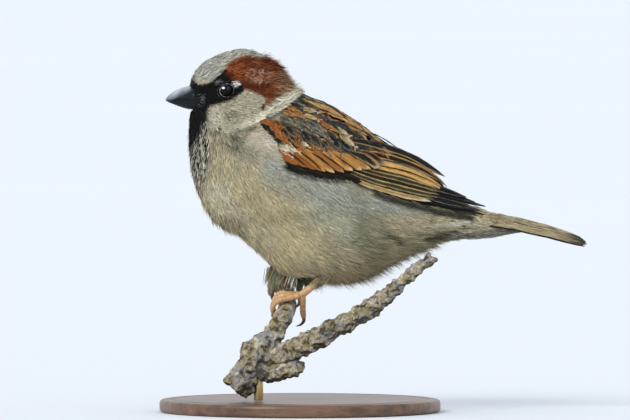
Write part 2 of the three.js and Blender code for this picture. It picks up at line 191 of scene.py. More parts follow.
def wire(source, socket):
    graph["tree"].links.new(source, socket)


def feed(socket, value):
    # a number or a colour is set on the socket, anything else is linked to it
    if isinstance(value, (int, float)):
        socket.default_value = value
    elif isinstance(value, tuple):
        socket.default_value = (*value, 1)
    else:
        wire(value, socket)


def addNode(kind, **values):
    node = graph["tree"].nodes.new(kind)
    for key, value in values.items():
        if hasattr(node, key):
            setattr(node, key, value)
        else:
            node.inputs[key.replace("_", " ")].default_value = value
    return node


def storedTone(name="tone"):
    return addNode("ShaderNodeAttribute", attribute_name=name).outputs["Color"]


def objectPlace():
    return addNode("ShaderNodeTexCoord").outputs["Object"]


def mappedBy(where, **values):
    node = addNode("ShaderNodeMapping", **values)
    wire(where, node.inputs["Vector"])
    return node.outputs[0]


def splitXyz(vector):
    node = addNode("ShaderNodeSeparateXYZ")
    wire(vector, node.inputs[0])
    return node.outputs


def mathNode(operation, a, b=None):
    node = addNode("ShaderNodeMath", operation=operation)
    feed(node.inputs[0], a)
    if b is not None:
        feed(node.inputs[1], b)
    return node.outputs[0]


def times(a, b):
    return mathNode("MULTIPLY", a, b)


def plus(a, b):
    return mathNode("ADD", a, b)


def minus(a, b):
    return mathNode("SUBTRACT", a, b)


def mixTone(factor, a, b, blend="MIX"):
    node = addNode("ShaderNodeMix", data_type="RGBA", blend_type=blend)
    for socket, value in ((node.inputs[0], factor), (node.inputs[6], a), (node.inputs[7], b)):
        feed(socket, value)
    return node.outputs[2]


def rangeNode(value, low, high, toLow=0.0, toHigh=1.0, smooth=True):
    node = addNode("ShaderNodeMapRange", interpolation_type="SMOOTHSTEP" if smooth else "LINEAR")
    for socket, given in zip(node.inputs[:5], (value, low, high, toLow, toHigh)):
        feed(socket, given)
    return node.outputs[0]


def noiseNode(vector, scale, detail=3.0, roughness=0.6):
    node = addNode("ShaderNodeTexNoise", Scale=scale, Detail=detail, Roughness=roughness)
    wire(vector, node.inputs["Vector"])
    return node.outputs["Fac"]


def shadedBy(colour, shade):
    grey = addNode("ShaderNodeCombineColor")
    for socket in grey.inputs:
        wire(shade, socket)
    return mixTone(1.0, colour, grey.outputs[0], "MULTIPLY")


def paint(shader, colour):
    wire(colour, shader.inputs["Base Color"])


def bumpOn(shader, height, strength, distance):
    node = addNode("ShaderNodeBump", Strength=strength, Distance=distance)
    wire(height, node.inputs["Height"])
    wire(node.outputs[0], shader.inputs["Normal"])


def featherMaterial(name, sheen=0.03, roughness=0.8):
    material, shader = newMaterial(name, Roughness=roughness, Sheen_Weight=sheen, Sheen_Roughness=0.5)
    shader.inputs["Specular IOR Level"].default_value = 0.08
    tone = addNode("ShaderNodeAttribute", attribute_name="tone")
    where = addNode("ShaderNodeTexCoord")
    grain = noiseNode(where.outputs["Object"], 1600.0, 4.0, 0.7)
    shade = rangeNode(grain, 0.3, 0.7, 0.82, 1.14, False)
    colour = shadedBy(tone.outputs["Color"], shade)
    paint(shader, colour)
    bumpOn(shader, grain, 0.25, 0.0001)
    return material


def vaneMaterial(name, roughness=0.65, sheen=0.02):
    material, shader = newMaterial(name, Roughness=roughness, Sheen_Weight=sheen, Sheen_Roughness=0.5)
    shader.inputs["Specular IOR Level"].default_value = 0.12
    centre = storedTone("centreTone")
    edge = storedTone("edgeTone")
    tip = storedTone("tipTone")
    shares = addNode("ShaderNodeAttribute", attribute_name="shares").outputs["Vector"]
    reach = addNode("ShaderNodeAttribute", attribute_name="reach").outputs["Fac"]
    split = splitXyz(shares)
    vane = addNode("ShaderNodeUVMap", uv_map="vane").outputs[0]
    uv = splitXyz(vane)
    where = objectPlace()
    fray = noiseNode(where, 900.0, 3.0)
    frayed = times(minus(fray, 0.5), 0.5)
    side = minus(times(uv[0], 2.0), 1.0)
    away = mathNode("ABSOLUTE", side)
    # barbs slant from the shaft to the edge
    barb = plus(times(uv[1], reach), times(away, -1.1))
    wave = mathNode("SINE", times(plus(barb, frayed), 13.0))
    masks = []
    for share, sign in ((split[0], -1.0), (split[1], 1.0)):
        start = minus(1.0, share)
        out = plus(times(side, sign), frayed)
        masks.append(rangeNode(out, minus(start, 0.1), plus(start, 0.12)))
    edgeMask = mathNode("MAXIMUM", masks[0], masks[1])
    colour = mixTone(edgeMask, centre, edge)
    tipStart = minus(1.0, split[2])
    along = plus(uv[1], times(frayed, 0.4))
    tipMask = rangeNode(along, minus(tipStart, 0.05), plus(tipStart, 0.07))
    colour = mixTone(tipMask, colour, tip)
    shaft = rangeNode(away, 0.03, 0.12, 0.45, 1.0)
    barbShade = rangeNode(wave, -1.0, 1.0, 0.8, 1.12, False)
    both = times(shaft, barbShade)
    speckle = rangeNode(noiseNode(where, 2600.0, 3.0), 0.3, 0.7, 0.85, 1.12, False)
    both = times(both, speckle)
    colour = shadedBy(colour, both)
    paint(shader, colour)
    bumpOn(shader, wave, 0.3, 0.00008)
    return material


# side view grid: squares of this many mm, counted from the left and from the top
gridSquare = 0.32


def toGrid(points):
    return points[..., 0] / gridSquare + 300, 412 - points[..., 2] / gridSquare


def fromGrid(gx, gy):
    return (gx - 300) * gridSquare, (412 - gy) * gridSquare


# the guide: the outer shape that the coat follows

# slices from the bill to the nape: top x z, low x z, half width, drop of the widest place
headRows = np.array([
    [-35.1, 104.4, -34.8, 97.0, 4.0, 0], [-34.0, 107.6, -34.9, 95.2, 5.6, .02],
    [-31.5, 110.9, -33.6, 93.1, 7.1, .05], [-27.9, 113.2, -31.8, 90.9, 8.6, .08],
    [-23.7, 114.9, -29.2, 88.3, 10.1, .1], [-17.9, 115.9, -25.0, 86.4, 11.5, .1],
    [-12.6, 113.8, -18.8, 86.4, 12.1, .08], [-7.6, 110.6, -12.6, 88.3, 11.2, .05],
    [-4.1, 105.6, -7.2, 91.5, 8.8, .02], [-2.0, 101.0, -3.3, 96, 4.6, 0],
])
# slices from the throat to the tail coverts
bodyRows = np.array([
    [-2.6, 104.0, -34.5, 96.4, 7.4, 0], [0, 102.8, -35.0, 93.8, 9.0, 0],
    [2.6, 101.0, -35.2, 87.0, 11.6, -.02], [5.8, 99.6, -34.8, 79.9, 15.0, -.04],
    [9.6, 97.9, -33.2, 72.6, 18.4, -.04], [14.4, 95.3, -29.4, 64.2, 21.0, -.02],
    [19.8, 91.8, -22.8, 59.6, 22.2, 0], [25.6, 87.7, -14.2, 52.2, 22.4, .03],
    [31.4, 84.7, -3.6, 43.4, 21.6, .05], [36.5, 82.2, 7.0, 43.4, 19.8, .06],
    [41.0, 79.2, 17.4, 43.9, 17.0, .06], [44.8, 75.9, 26.3, 47.9, 13.8, .05],
    [48.0, 71.5, 33.5, 51.6, 11.2, .03], [51.2, 69.0, 41.0, 54.2, 9.4, 0],
    [55.0, 67.1, 49.9, 55.4, 7.8, 0], [59.8, 64.4, 58.2, 56.8, 5.6, 0], [63.4, 62.4, 64.0, 58.6, 3.4, 0],
])


def alongRows(rows, s):
    wide = np.vstack([2 * rows[0] - rows[1], rows, 2 * rows[-1] - rows[-2]])
    i = np.clip(np.floor(s).astype(int), 0, len(rows) - 2)
    f = (s - i)[..., None]
    a, b, c, d = wide[i], wide[i + 1], wide[i + 2], wide[i + 3]
    return 0.5 * (2 * b + (c - a) * f + (2 * a - 5 * b + 4 * c - d) * f ** 2 + (3 * b - a - 3 * c + d)
        * f ** 3)


def onLoft(rows, s, theta):
    r = alongRows(rows, s)
    t = 0.5 - 0.5 * np.cos(theta) + r[..., 5] * np.sin(theta) ** 2
    x = r[..., 0] + (r[..., 2] - r[..., 0]) * t
    z = r[..., 1] + (r[..., 3] - r[..., 1]) * t
    return np.stack([x, r[..., 4] * np.sin(theta), z], -1)


def loftSkin(name, rows, around=64, perRow=5):
    s = np.linspace(0, len(rows) - 1, (len(rows) - 1) * perRow + 1)
    theta = np.linspace(-np.pi, np.pi, around, endpoint=False)
    grid = onLoft(rows, *np.meshgrid(s, theta, indexing="ij"))
    points = np.vstack([grid.reshape(-1, 3), grid[0].mean(0), grid[-1].mean(0)])
    n = len(s)
    quads, tris = [], []
    for i in range(n - 1):
        for j in range(around):
            k = (j + 1) % around
            quads.append([i * around + j, i * around + k, (i + 1) * around + k, (i + 1) * around + j])
    for j in range(around):
        k = (j + 1) % around
        tris.append([n * around, k, j])
        tris.append([n * around + 1, (n - 1) * around + j, (n - 1) * around + k])
    return meshFromArrays(name, points, np.array(quads), np.array(tris))[0]


guidePiece = loftSkin("guide", bodyRows)
headLoft = loftSkin("guideHead", headRows)
joined([guidePiece, headLoft])
inEditMode(bpy.ops.mesh.normals_make_consistent, inside=False)
applyOn(guidePiece, "REMESH", mode="VOXEL", voxel_size=0.65 * mm)
applyOn(guidePiece, "SMOOTH", factor=0.5, iterations=6)
applyOn(guidePiece, "TRIANGULATE")
guidePoints = vertsOf(guidePiece)
guideFaces = np.empty(len(guidePiece.data.polygons) * 3, np.int32)
guidePiece.data.polygons.foreach_get("vertices", guideFaces)
guideFaces = guideFaces.reshape(-1, 3)
guideNormals = np.empty(len(guidePoints) * 3, np.float32)
guidePiece.data.vertices.foreach_get("normal", guideNormals)
guideNormals = guideNormals.reshape(-1, 3).astype(float)
edges = np.empty(len(guidePiece.data.edges) * 2, np.int32)
guidePiece.data.edges.foreach_get("vertices", edges)
edges = edges.reshape(-1, 2)
guideTree = BVHTree.FromPolygons([tuple(p) for p in guidePoints], [tuple(f) for f in guideFaces])
bpy.data.objects.remove(guidePiece)
print("guide:", len(guidePoints), "points")


def blurred(field, times):
    counts = np.zeros((len(guidePoints), 1))
    np.add.at(counts, edges.ravel(), 1)
    for _ in range(times):
        total = np.zeros_like(field)
        np.add.at(total, edges[:, 0], field[edges[:, 1]])
        np.add.at(total, edges[:, 1], field[edges[:, 0]])
        field = 0.5 * field + 0.5 * total / counts
    return field


# how the feathers lie, seen from the side: place on the grid, degrees below level, tips to the tail
lieSpots = [
    (198, 76, -62), (208, 66, -52), (222, 58, -40), (236, 54, -18), (250, 52, 0), (235, 68, -34),
    (255, 72, -4),
    (270, 66, 18), (282, 78, 38), (291, 88, 44), (250, 88, 10), (266, 102, 62), (300, 98, 26),
    (206, 92, 20),
    (206, 104, 45), (216, 118, 42), (232, 108, 16), (250, 106, 4), (258, 98, -6), (242, 122, -10),
    (262, 114, -24),
    (280, 103, -22), (196, 118, 94), (208, 124, 80), (198, 150, 106), (205, 136, 108), (194, 178, 92),
    (208, 168, 96), (214, 150, 88),
    (230, 140, 45), (226, 180, 66), (218, 196, 68),
    (246, 165, 46), (262, 140, 8), (274, 150, 12), (272, 166, 24), (300, 182, 28), (300, 204, 38),
    (262, 196, 54),
    (216, 222, 58), (252, 230, 58), (280, 262, 54), (284, 225, 50), (304, 270, 44), (310, 240, 42),
    (345, 202, 30),
    (340, 232, 34), (340, 272, 30), (380, 230, 24), (385, 262, 26), (405, 232, 18), (440, 230, 12),
    (480, 226, 8),
    (320, 110, 32), (360, 135, 35), (400, 155, 28), (440, 180, 40), (480, 208, 22), (500, 216, 14),
]


def lieOfFeathers():
    places, ways, unwrap = [], [], []
    for rows, uStart, uWide in ((headRows, 0.02, 0.27), (bodyRows, 0.32, 0.66)):
        s, theta = np.meshgrid(np.linspace(0.02, len(rows) - 1.02, (len(rows) - 1) * 7),
            np.linspace(-np.pi, np.pi, 72, endpoint=False), indexing="ij")
        here = onLoft(rows, s, theta)
        places.append(here.reshape(-1, 3))
        ways.append(unit(onLoft(rows, s + 0.02, theta) - here).reshape(-1, 3))
        u = uStart + uWide * s / (len(rows) - 1)
        unwrap.append(np.stack([u, 0.5 + 0.48 * theta / np.pi], -1).reshape(-1, 2))
    places, ways, unwrap = np.vstack(places), np.vstack(ways), np.vstack(unwrap)
    lookup = KDTree(len(places))
    for i, place in enumerate(places):
        lookup.insert(place, i)
    lookup.balance()
    found = np.array([lookup.find(p)[1] for p in guidePoints])
    field = blurred(ways[found], 14)
    # seen from the side, the lie follows these directions
    gx, gy = toGrid(guidePoints)
    total, weights = np.zeros(len(gx)), np.zeros(len(gx))
    for spotX, spotY, below in lieSpots:
        weight = 1 / ((gx - spotX) ** 2 + (gy - spotY) ** 2 + 30) ** 1.5
        total = total + weight * below
        weights = weights + weight
    below = np.radians(total / weights)
    seen = np.stack([np.cos(below), 0.25 * field[:, 1], -np.sin(below)], -1)
    field = unit(field) * 0.35 + seen
    field = unit(field - guideNormals * dot(field, guideNormals))
    field = blurred(field, 4)
    field = unit(field - guideNormals * dot(field, guideNormals))
    return field, unwrap[found]


guideWays, guideUnwrap = lieOfFeathers()
faceNormals = unit(guideNormals[guideFaces].mean(1))
faceWays = unit(guideWays[guideFaces].mean(1))
faceAreas = 0.5 * np.linalg.norm(np.cross(guidePoints[guideFaces[:, 1]] - guidePoints[guideFaces[:, 0]],
        guidePoints[guideFaces[:, 2]] - guidePoints[guideFaces[:, 0]]),
    axis=1)
faceMiddles = guidePoints[guideFaces].mean(1)
print("lie of the feathers done, area", round(faceAreas.sum()), "mm2")


def nearest(points):
    places = np.empty((len(points), 3))
    faces = np.empty(len(points), int)
    for i, p in enumerate(points.tolist()):
        place, _, face, _ = guideTree.find_nearest(p)
        places[i] = place
        faces[i] = face
    return places, faceNormals[faces], faces


def fromSide(gx, gy, leftSide=True):
    x, z = fromGrid(gx, gy)
    sign = -1 if leftSide else 1
    hit = guideTree.ray_cast((x, sign * 80, z), (0, -sign, 0))
    if hit[0] is None:
        place, _, face, _ = guideTree.find_nearest((x, sign * 6, z))
        return np.array(place), face
    return np.array(hit[0]), hit[2]


def inside(points, outline, soft=1.5):
    gx, gy = toGrid(points)
    shape = np.array(outline, float)
    nextOnes = np.roll(shape, -1, 0)
    within = np.zeros(len(gx), bool)
    best = np.full(len(gx), 1e9)
    for (ax, ay), (bx, by) in zip(shape, nextOnes):
        if ay != by:
            crosses = ((ay > gy) != (by > gy)) & (gx < (bx - ax) * (gy - ay) / (by - ay) + ax)
            within ^= crosses
        dx, dy = bx - ax, by - ay
        t = limited(((gx - ax) * dx + (gy - ay) * dy) / max(dx * dx + dy * dy, 1e-9))
        best = np.minimum(best, np.hypot(gx - ax - t * dx, gy - ay - t * dy))
    signed = np.where(within, best, -best)
    return limited(0.5 + signed / (2 * soft))


def nearLine(points, line, wide):
    gx, gy = toGrid(points)
    best = np.full(len(gx), 1e9)
    for (ax, ay), (bx, by) in zip(line[:-1], line[1:]):
        dx, dy = bx - ax, by - ay
        t = limited(((gx - ax) * dx + (gy - ay) * dy) / (dx * dx + dy * dy))
        best = np.minimum(best, np.hypot(gx - ax - t * dx, gy - ay - t * dy))
    return limited(1.5 - best / wide)


def spot(points, gx0, gy0, rx, ry):
    gx, gy = toGrid(points)
    r = np.hypot((gx - gx0) / rx, (gy - gy0) / ry)
    return limited((1.25 - r) / 0.5)


# plumage tones, linear
tones = {
    "belly": (0.478, 0.408, 0.245), "breast": (0.39, 0.345, 0.235), "flank": (0.385, 0.4, 0.35),
    "vent": (0.44, 0.39, 0.24), "underTail": (0.47, 0.45, 0.36), "blush": (0.6, 0.535, 0.43),
    "crown": (0.425, 0.42, 0.375), "crownEdge": (0.52, 0.455, 0.33), "black": (0.006, 0.006, 0.006),
    "rust": (0.225, 0.064, 0.02), "brightRust": (0.3, 0.088, 0.026), "darkRust": (0.1, 0.022, 0.012),
    "paleFleck": (0.62, 0.4, 0.28), "cheek": (0.4, 0.372, 0.265), "collar": (0.62, 0.585, 0.46),
    "nape": (0.25, 0.195, 0.12), "white": (0.8, 0.76, 0.66), "shadow": (0.085, 0.088, 0.065),
    "fringe": (0.6, 0.575, 0.475), "back": (0.22, 0.16, 0.095), "rump": (0.36, 0.29, 0.175),
    "oliveDark": (0.15, 0.135, 0.075), "greyLid": (0.2, 0.2, 0.19)
}
tones = {key: np.array(value) for key, value in tones.items()}

headPatches = {
    "crown": [(180, 92), (188, 84), (192, 70), (204, 56), (220, 46), (240, 40), (262, 40), (282, 50),
        (270, 57), (262, 59.4), (255, 58), (247, 56), (238, 58.4), (231, 63.5), (224, 71), (218, 77.5),
        (212, 84), (204, 87), (195, 86)],
    "lores": [(189, 84), (194, 83.5), (201, 86.5), (210, 85), (215, 80.5), (221, 75.5), (226, 74.5),
        (231, 79), (238, 81), (243, 86), (245, 90), (238, 95.5), (229, 101), (217, 104), (209.5, 106.5),
        (207, 112), (190, 112)],
    "horn": [(184, 84), (193, 88.5), (200, 91), (204.5, 95), (206, 99.5), (203.5, 103.5), (197, 104.5),
        (192, 110), (180, 110)],
    "chestnut": [(223, 76), (224.5, 70), (227, 65.5), (231, 62.5), (238, 58), (247, 55.5), (255, 57.5),
        (262, 58.6), (272, 57), (284, 56), (300, 70), (312, 88), (302, 92), (294, 89), (285, 92), (276, 97),
        (270, 102.5), (265, 109), (261.5, 108), (265, 103), (267, 100), (265, 97.5), (257, 93), (249, 89.5),
        (242, 87.5), (234, 82), (227, 79)],
    "cheek": [(207, 114), (209.5, 107.5), (217, 105), (229, 102), (239, 95.5), (247, 90.5), (256, 93),
        (264, 97.5), (266, 101), (262, 107), (264, 111), (255, 118.5), (240, 124), (225, 128), (210, 132),
        (204, 129), (207, 119)],
    "collar": [(222, 130), (240, 124), (255, 117), (267, 108.5), (276, 97), (285, 91), (294, 88),
        (304, 92), (308, 100), (296, 108), (284, 113.5), (268, 120), (252, 125), (236, 130), (222, 133)],
    "nape": [(289, 92), (295, 88), (303, 89), (318, 100), (310, 106), (300, 104), (293, 98)],
    "bib": [(170, 106), (200, 102), (206.5, 106), (208.5, 114), (208, 124), (204.5, 134), (201.5, 144),
        (198, 158), (196, 174), (194, 192), (170, 198)],
    "flecks": [(207.5, 118), (210.5, 128), (211.5, 140), (210, 154), (208, 170), (205, 186), (200, 204),
        (184, 204), (186, 160), (194, 146), (201, 132)],
    "blush": [(249, 134), (258, 129), (266, 130), (275, 137), (282, 145), (274, 150), (258, 148),
        (247, 142)],
    "breastSide": [(222, 134), (238, 129), (254, 124), (262, 122), (258, 130), (246, 136), (238, 148),
        (228, 150), (221, 144)],
    "flank": [(262, 150), (290, 160), (352, 184), (400, 200), (440, 212), (400, 216), (340, 212),
        (300, 200), (262, 178)],
    "vent": [(360, 214), (420, 214), (488, 222), (500, 232), (440, 250), (395, 262), (370, 240)],
    "underTail": [(452, 228), (490, 222), (520, 234), (500, 246), (440, 250)],
    "back": [(296, 84), (420, 140), (500, 205), (500, 214), (440, 206), (380, 190), (300, 150),
        (266, 122), (276, 112), (290, 104)],
}
browLine = [(191.5, 81.5), (195, 84), (201, 86.5), (210, 85), (215.3, 80.7), (221, 75.8), (225, 71.5)]
creaseLine = [(205, 133), (230, 130.5), (247, 126.5), (258, 121)]


def mottle(points, size, seed):
    # soft irregular patches about this many mm across, from -1 to 1
    waves = np.random.default_rng(seed)
    total = np.zeros(len(points))
    for _ in range(9):
        way = unit(waves.normal(0, 1, 3))
        total = total + np.sin(points @ way * (2 * np.pi / (size * waves.uniform(0.7, 1.7)))
            + waves.uniform(0, 6.28))
    return np.clip(total / 3.6, -1, 1)


def markings(points):
    # colour of the plumage at each point, and how dark and how pale its odd barbs are
    n = len(points)
    gx, gy = toGrid(points)
    lot, other = chance.random(n), chance.random(n)
    colour = np.tile(tones["belly"], (n, 1))
    tip = np.zeros(n)

    def lay(mask, tone, share=1):
        mask = np.asarray(mask)[:, None]
        if isinstance(tone, str):
            tone = tones[tone] * share
        colour[:] = colour * (1 - mask) + np.asarray(tone) * mask

    def area(name, soft):
        return inside(points, headPatches[name], soft)

    def blot(*place):
        return spot(points, *place)

    def stroke(line, wide):
        return nearLine(points, line, wide)

    def patchy(size, seed):
        return mottle(points, size, seed)

    lay(limited((200 - gy) / 60), "breast")
    lay(area("flank", 9) * 0.95, "flank")
    lay(area("vent", 8) * 0.85, "vent")
    lay(area("underTail", 5) * 0.8, "underTail")
    # soft patches of olive and of shade, and a darker patch between flank and vent
    lay(limited(patchy(9, 3) - 0.15) * 0.35 * (gy > 140), "oliveDark", 1.6)
    lay(limited(patchy(5, 5) - 0.3) * 0.3, "shadow", 2.0)
    lay(blot(336, 222, 34, 28) * 0.5, "flank", (0.86, 0.9, 0.84))
    lay(blot(290, 214, 22, 8) * 0.3, "oliveDark", 1.7)
    lay(blot(368, 234, 17, 27) * 0.5, "oliveDark", (0.85, 1.0, 1.1))
    lay(blot(447, 235, 16, 5) * 0.6, "oliveDark", 0.7)
    lay(blot(407, 224, 15, 9) * 0.75, "blush", (0.85, 0.8, 0.68))
    # a paler lower belly: painted light against the shade under the body
    lay(blot(300, 258, 44, 34) * 0.6, "belly", 1.2)
    lay(blot(220, 196, 14, 20) * 0.5, "blush", (0.98, 1.06, 1.0))
    lay(blot(258, 236, 20, 12) * 0.4, "blush", (1.0, 1.02, 0.9))
    lay(blot(238, 214, 12, 8) * 0.35, "blush")
    lay(blot(246, 150, 14, 10) * 0.65, "shadow", 3.0)
    lay(blot(238, 146, 7, 8) * (patchy(1.4, 71) > 0.1) * (lot < 0.7), "shadow", 0.9)
    # fine darker and paler hairs on flank and belly
    streaks = (lot < 0.09 + 0.09 * area("flank", 14)) * 0.7
    lay(streaks, "shadow", 1.4)
    lay((other < 0.1) * 0.5, "blush")
    side = area("breastSide", 4)
    lay(side * 0.35, "shadow", 2.0)
    lay(side * ((patchy(1.6, 8) > 0.25) & (lot < 0.7)) * 0.85, "shadow", 0.45)
    lay(area("blush", 3) * 0.8, "blush", (0.95, 0.97, 1.0))
    lay(area("blush", 3) * (lot < 0.25) * 0.5, np.array((0.42, 0.27, 0.22)))
    # black strips on the flank along the wing's lower edge: painted shadow under the wing
    lay(stroke([(286, 165), (300, 170.5), (316, 174.5), (334, 177), (352, 177)], 3.8), "black")
    lay(stroke([(376, 192), (396, 199), (430, 208.5), (470, 218)], 4.6) * 0.9, "black")
    lay(stroke([(356, 182), (376, 190)], 2.4) * 0.8, "black")
    lay(stroke([(298, 224), (316, 233), (332, 246)], 3.0) * 0.25, np.array((0.28, 0.21, 0.12)))
    lay(stroke([(424, 237), (446, 232.5), (466, 226.5)], 2.6) * (lot < 0.8), "oliveDark", 0.45)
    lay(stroke([(386, 233), (396, 240)], 3.0) * (lot < 0.7), "oliveDark", 0.5)
    # a pale streak under the tail: painted sheen
    lay(stroke([(428, 226), (448, 223), (468, 222)], 2.6) * 0.6, "fringe")
    lay(area("back", 3), "back")
    lay(area("back", 3) * (lot < 0.45), "oliveDark")
    back = limited((gx - 368) / 30) * area("back", 5)
    lay(back * 0.8, "rump")
    lay(area("nape", 3), "nape")
    lay(area("nape", 3) * (lot < 0.35), "collar", 0.75)
    lay(stroke(creaseLine, 2.9) * 0.72, "shadow")
    lay(area("cheek", 1.5), "cheek")
    lay(area("cheek", 1.5) * (lot < 0.26) * 0.5, "nape")
    lay(area("cheek", 1.5) * (other < 0.2) * 0.6, "collar")
    lay(blot(231, 114, 8, 5) * (lot < 0.5) * 0.6, "shadow")
    lay(area("cheek", 1.5) * blot(215, 118, 9, 11) * 0.6, "collar", 0.92)
    collar = area("collar", 2)
    lay(collar, tones["collar"] * (0.86 + 0.46 * limited((gx - 238) / 25) + 0.1
            * (other < 0.3))[:, None])
    lay(collar * ((patchy(1.2, 51) > 0.3) & (lot < 0.5)) * 0.55, "shadow", 2.2)
    lay(collar * blot(303, 99, 9, 6) * (lot < 0.5) * 0.8, "shadow", 1.2)
    crown = area("crown", 1.6)
    lay(crown, "crown")
    lay(crown * ((patchy(1.0, 11) > 0.25) & (lot < 0.6)) * 0.62, "shadow", 1.1)
    lay(crown * (other < 0.14) * 0.6, "collar")
    lay(crown * blot(203, 83.5, 9, 4) * 0.8, "crownEdge")
    chestnut = area("chestnut", 1.6)
    lay(chestnut, "rust")
    lay(chestnut * blot(240, 66, 15, 9) * 0.8, "brightRust")
    lay(chestnut * (blot(250, 87, 20, 5) + blot(228, 76, 6, 4)).clip(0, 1) * 0.9, "darkRust")
    lay(chestnut * (lot < 0.3) * 0.7, "darkRust")
    lay(chestnut * limited(patchy(2.6, 21)) * 0.8, "darkRust", 0.8)
    flecked = (patchy(0.9, 12) > 0.1) & (other < 0.6)
    pale = blot(259, 76, 13, 8)
    lay(chestnut * pale * flecked * 0.55, "paleFleck", 0.7)
    rear = chestnut * blot(294, 84, 19, 22)
    lay(rear * (other < 0.6) * 0.85, "nape", 1.7)
    lay(rear * (patchy(1.4, 14) > 0.35) * 0.7, "brightRust")
    hind = chestnut * limited((gx - 284) / 10) * limited((gy - 74) / 12)
    lay(hind * (lot > 0.2) * 0.9, "nape", 2.0)
    shadows = chestnut * (patchy(1.3, 41) > 0.45) * (lot < 0.6)
    lay(shadows * 0.85, "darkRust", 0.45)
    lay(area("lores", 1.2), "black")
    lay(stroke(browLine, 1.7), "black")
    lay(stroke([(262.5, 108.5), (264, 105)], 1.4) * 0.9, "black", 2)
    # the spot behind the eye, in two or three blots
    blots = blot(236.2, 84, 2.9, 2.9) + blot(239.6, 83.2, 2.0, 1.9) + blot(233, 82.6, 1.6, 1.0)
    lay(limited(blots * 1.6) * (other > 0.25), "white")
    lay(blot(219, 83, 4, 3) * (lot < 0.55), "greyLid")
    bib = area("bib", 1.8)
    fleck = area("flecks", 3) * (1 - 0.5 * limited((gy - 170) / 40))
    lay(bib, tones["black"] * (1.0 + 0.9 * (lot < 0.5))[:, None])
    # the streaks run down and forwards
    steep = np.stack([points[:, 0] * 0.84 - points[:, 2] * 0.54, points[:, 1],
            (points[:, 0] * 0.54 + points[:, 2] * 0.84) * 0.3], -1)
    inkBlots = mottle(steep, 0.9, 17)
    lay(fleck * (inkBlots > -0.12), "black", 1.2)
    lay(fleck * (inkBlots < -0.12) * 0.6, "fringe")
    lay(area("horn", 0.8), (0.012, 0.015, 0.016))
    tip[:] = np.where((fleck > 0.3) & (other < 0.2), 1.0, 0.0)
    tip[:] = np.where((chestnut * pale > 0.3) & (patchy(1.2, 61) > 0.1) & (other < 0.5), 2.0, tip)
    colour *= np.exp(chance.normal(-0.01, 0.2, (n, 1)))
    return np.clip(colour, 0.004, 0.9), tip


# the coat's tufts
coatParts = {
    # spacing of the tufts, barbs in each, length, width, stand-out and spread, in mm and degrees
    "coatCrown": dict(spacing=0.62, barbs=5, length=2.3, width=0.26, lift=0.16, spread=16, sink=0.35),
    "coatFace": dict(spacing=0.52, barbs=4, length=1.7, width=0.22, lift=0.12, spread=20, sink=0.3),
    "coatNape": dict(spacing=0.75, barbs=7, length=3.8, width=0.24, lift=0.75, spread=22, sink=0.4),
    "coatThroat": dict(spacing=0.8, barbs=7, length=3.4, width=0.27, lift=0.42, spread=21, sink=0.5),
    "coatBreast": dict(spacing=0.92, barbs=12, length=4.1, width=0.2, lift=0.34, spread=28, sink=0.6),
    "coatFlanks": dict(spacing=1.02, barbs=13, length=5.0, width=0.2, lift=0.38, spread=27, sink=0.7),
    "coatVent": dict(spacing=1.1, barbs=13, length=5.2, width=0.21, lift=0.34, spread=23, sink=0.7),
    "coatBack": dict(spacing=1.5, barbs=8, length=4.5, width=0.3, lift=0.1, spread=15, sink=0.9),
}
wingOutline = [(258, 121), (263, 128), (275, 141), (278, 151), (285, 164), (300, 174), (320, 178.5),
    (350, 180.5),
    (362, 186), (400, 199), (440, 209), (484, 218), (496, 220), (500, 200), (440, 160),
    (400, 130),
    (340, 90), (305, 88), (294, 100), (284, 108), (272, 115)]
eyePlace = np.array([-23.6, 0, 103.3])
eyeBare = 2.35  # mm round the eye where nothing grows


def coatShares(points):
    # which coat piece each point belongs to
    gx, gy = toGrid(points)
    names = list(coatParts)
    part = np.full(len(points), names.index("coatFlanks"))
    part[(gx < 300) & (gy < 215)] = names.index("coatBreast")
    part[(gx < 222) & (gy < 180)] = names.index("coatThroat")
    part[(gx > 392) & (gy > 195)] = names.index("coatVent")
    part[(gx - 300) * 0.55 + 148 > gy] = names.index("coatBack")
    head = (gy < 132) & (gx < 312 - (gy - 60) * 0.3)
    part[head] = names.index("coatFace")
    part[head & (inside(points, headPatches["crown"], 1) > 0.5)] = names.index("coatCrown")
    part[head & ((gx > 262) | ((gx > 246) & (gy < 62)))] = names.index("coatNape")
    part[(gy > 108) & (gx < 205) & (gy < 180)] = names.index("coatThroat")
    part[(gy > 124) & (gx < 222) & (gy < 180)] = names.index("coatThroat")
    return part


def scattered(part, spacing):
    # tuft roots over one coat piece, one to each little cell of space
    mine = np.where(faceParts == part)[0]
    wanted = int(faceAreas[mine].sum() / spacing ** 2 * 6)
    picked = chance.choice(mine, wanted, p=faceAreas[mine] / faceAreas[mine].sum())
    a, b = chance.random(wanted), chance.random(wanted)
    flip = a + b > 1
    a[flip], b[flip] = 1 - a[flip], 1 - b[flip]
    corners = guidePoints[guideFaces[picked]]
    points = corners[:, 0] + (corners[:, 1] - corners[:, 0]) * a[:, None] + (corners[:, 2]
        - corners[:, 0]) * b[:, None]
    cells = np.floor(points / (spacing * 0.92) + 0.37).astype(int)
    _, first = np.unique(cells, axis=0, return_index=True)
    return points[first], picked[first]


def turned(ways, normals, angle):
    return ways * np.cos(angle)[:, None] + np.cross(normals, ways) * np.sin(angle)[:, None]


barbPatch = np.array([[-.5, -.5], [.5, -.5], [-.5, -.17], [.5, -.17], [-.4, .17], [.4, .17],
        [0, .5]]) * 0.003


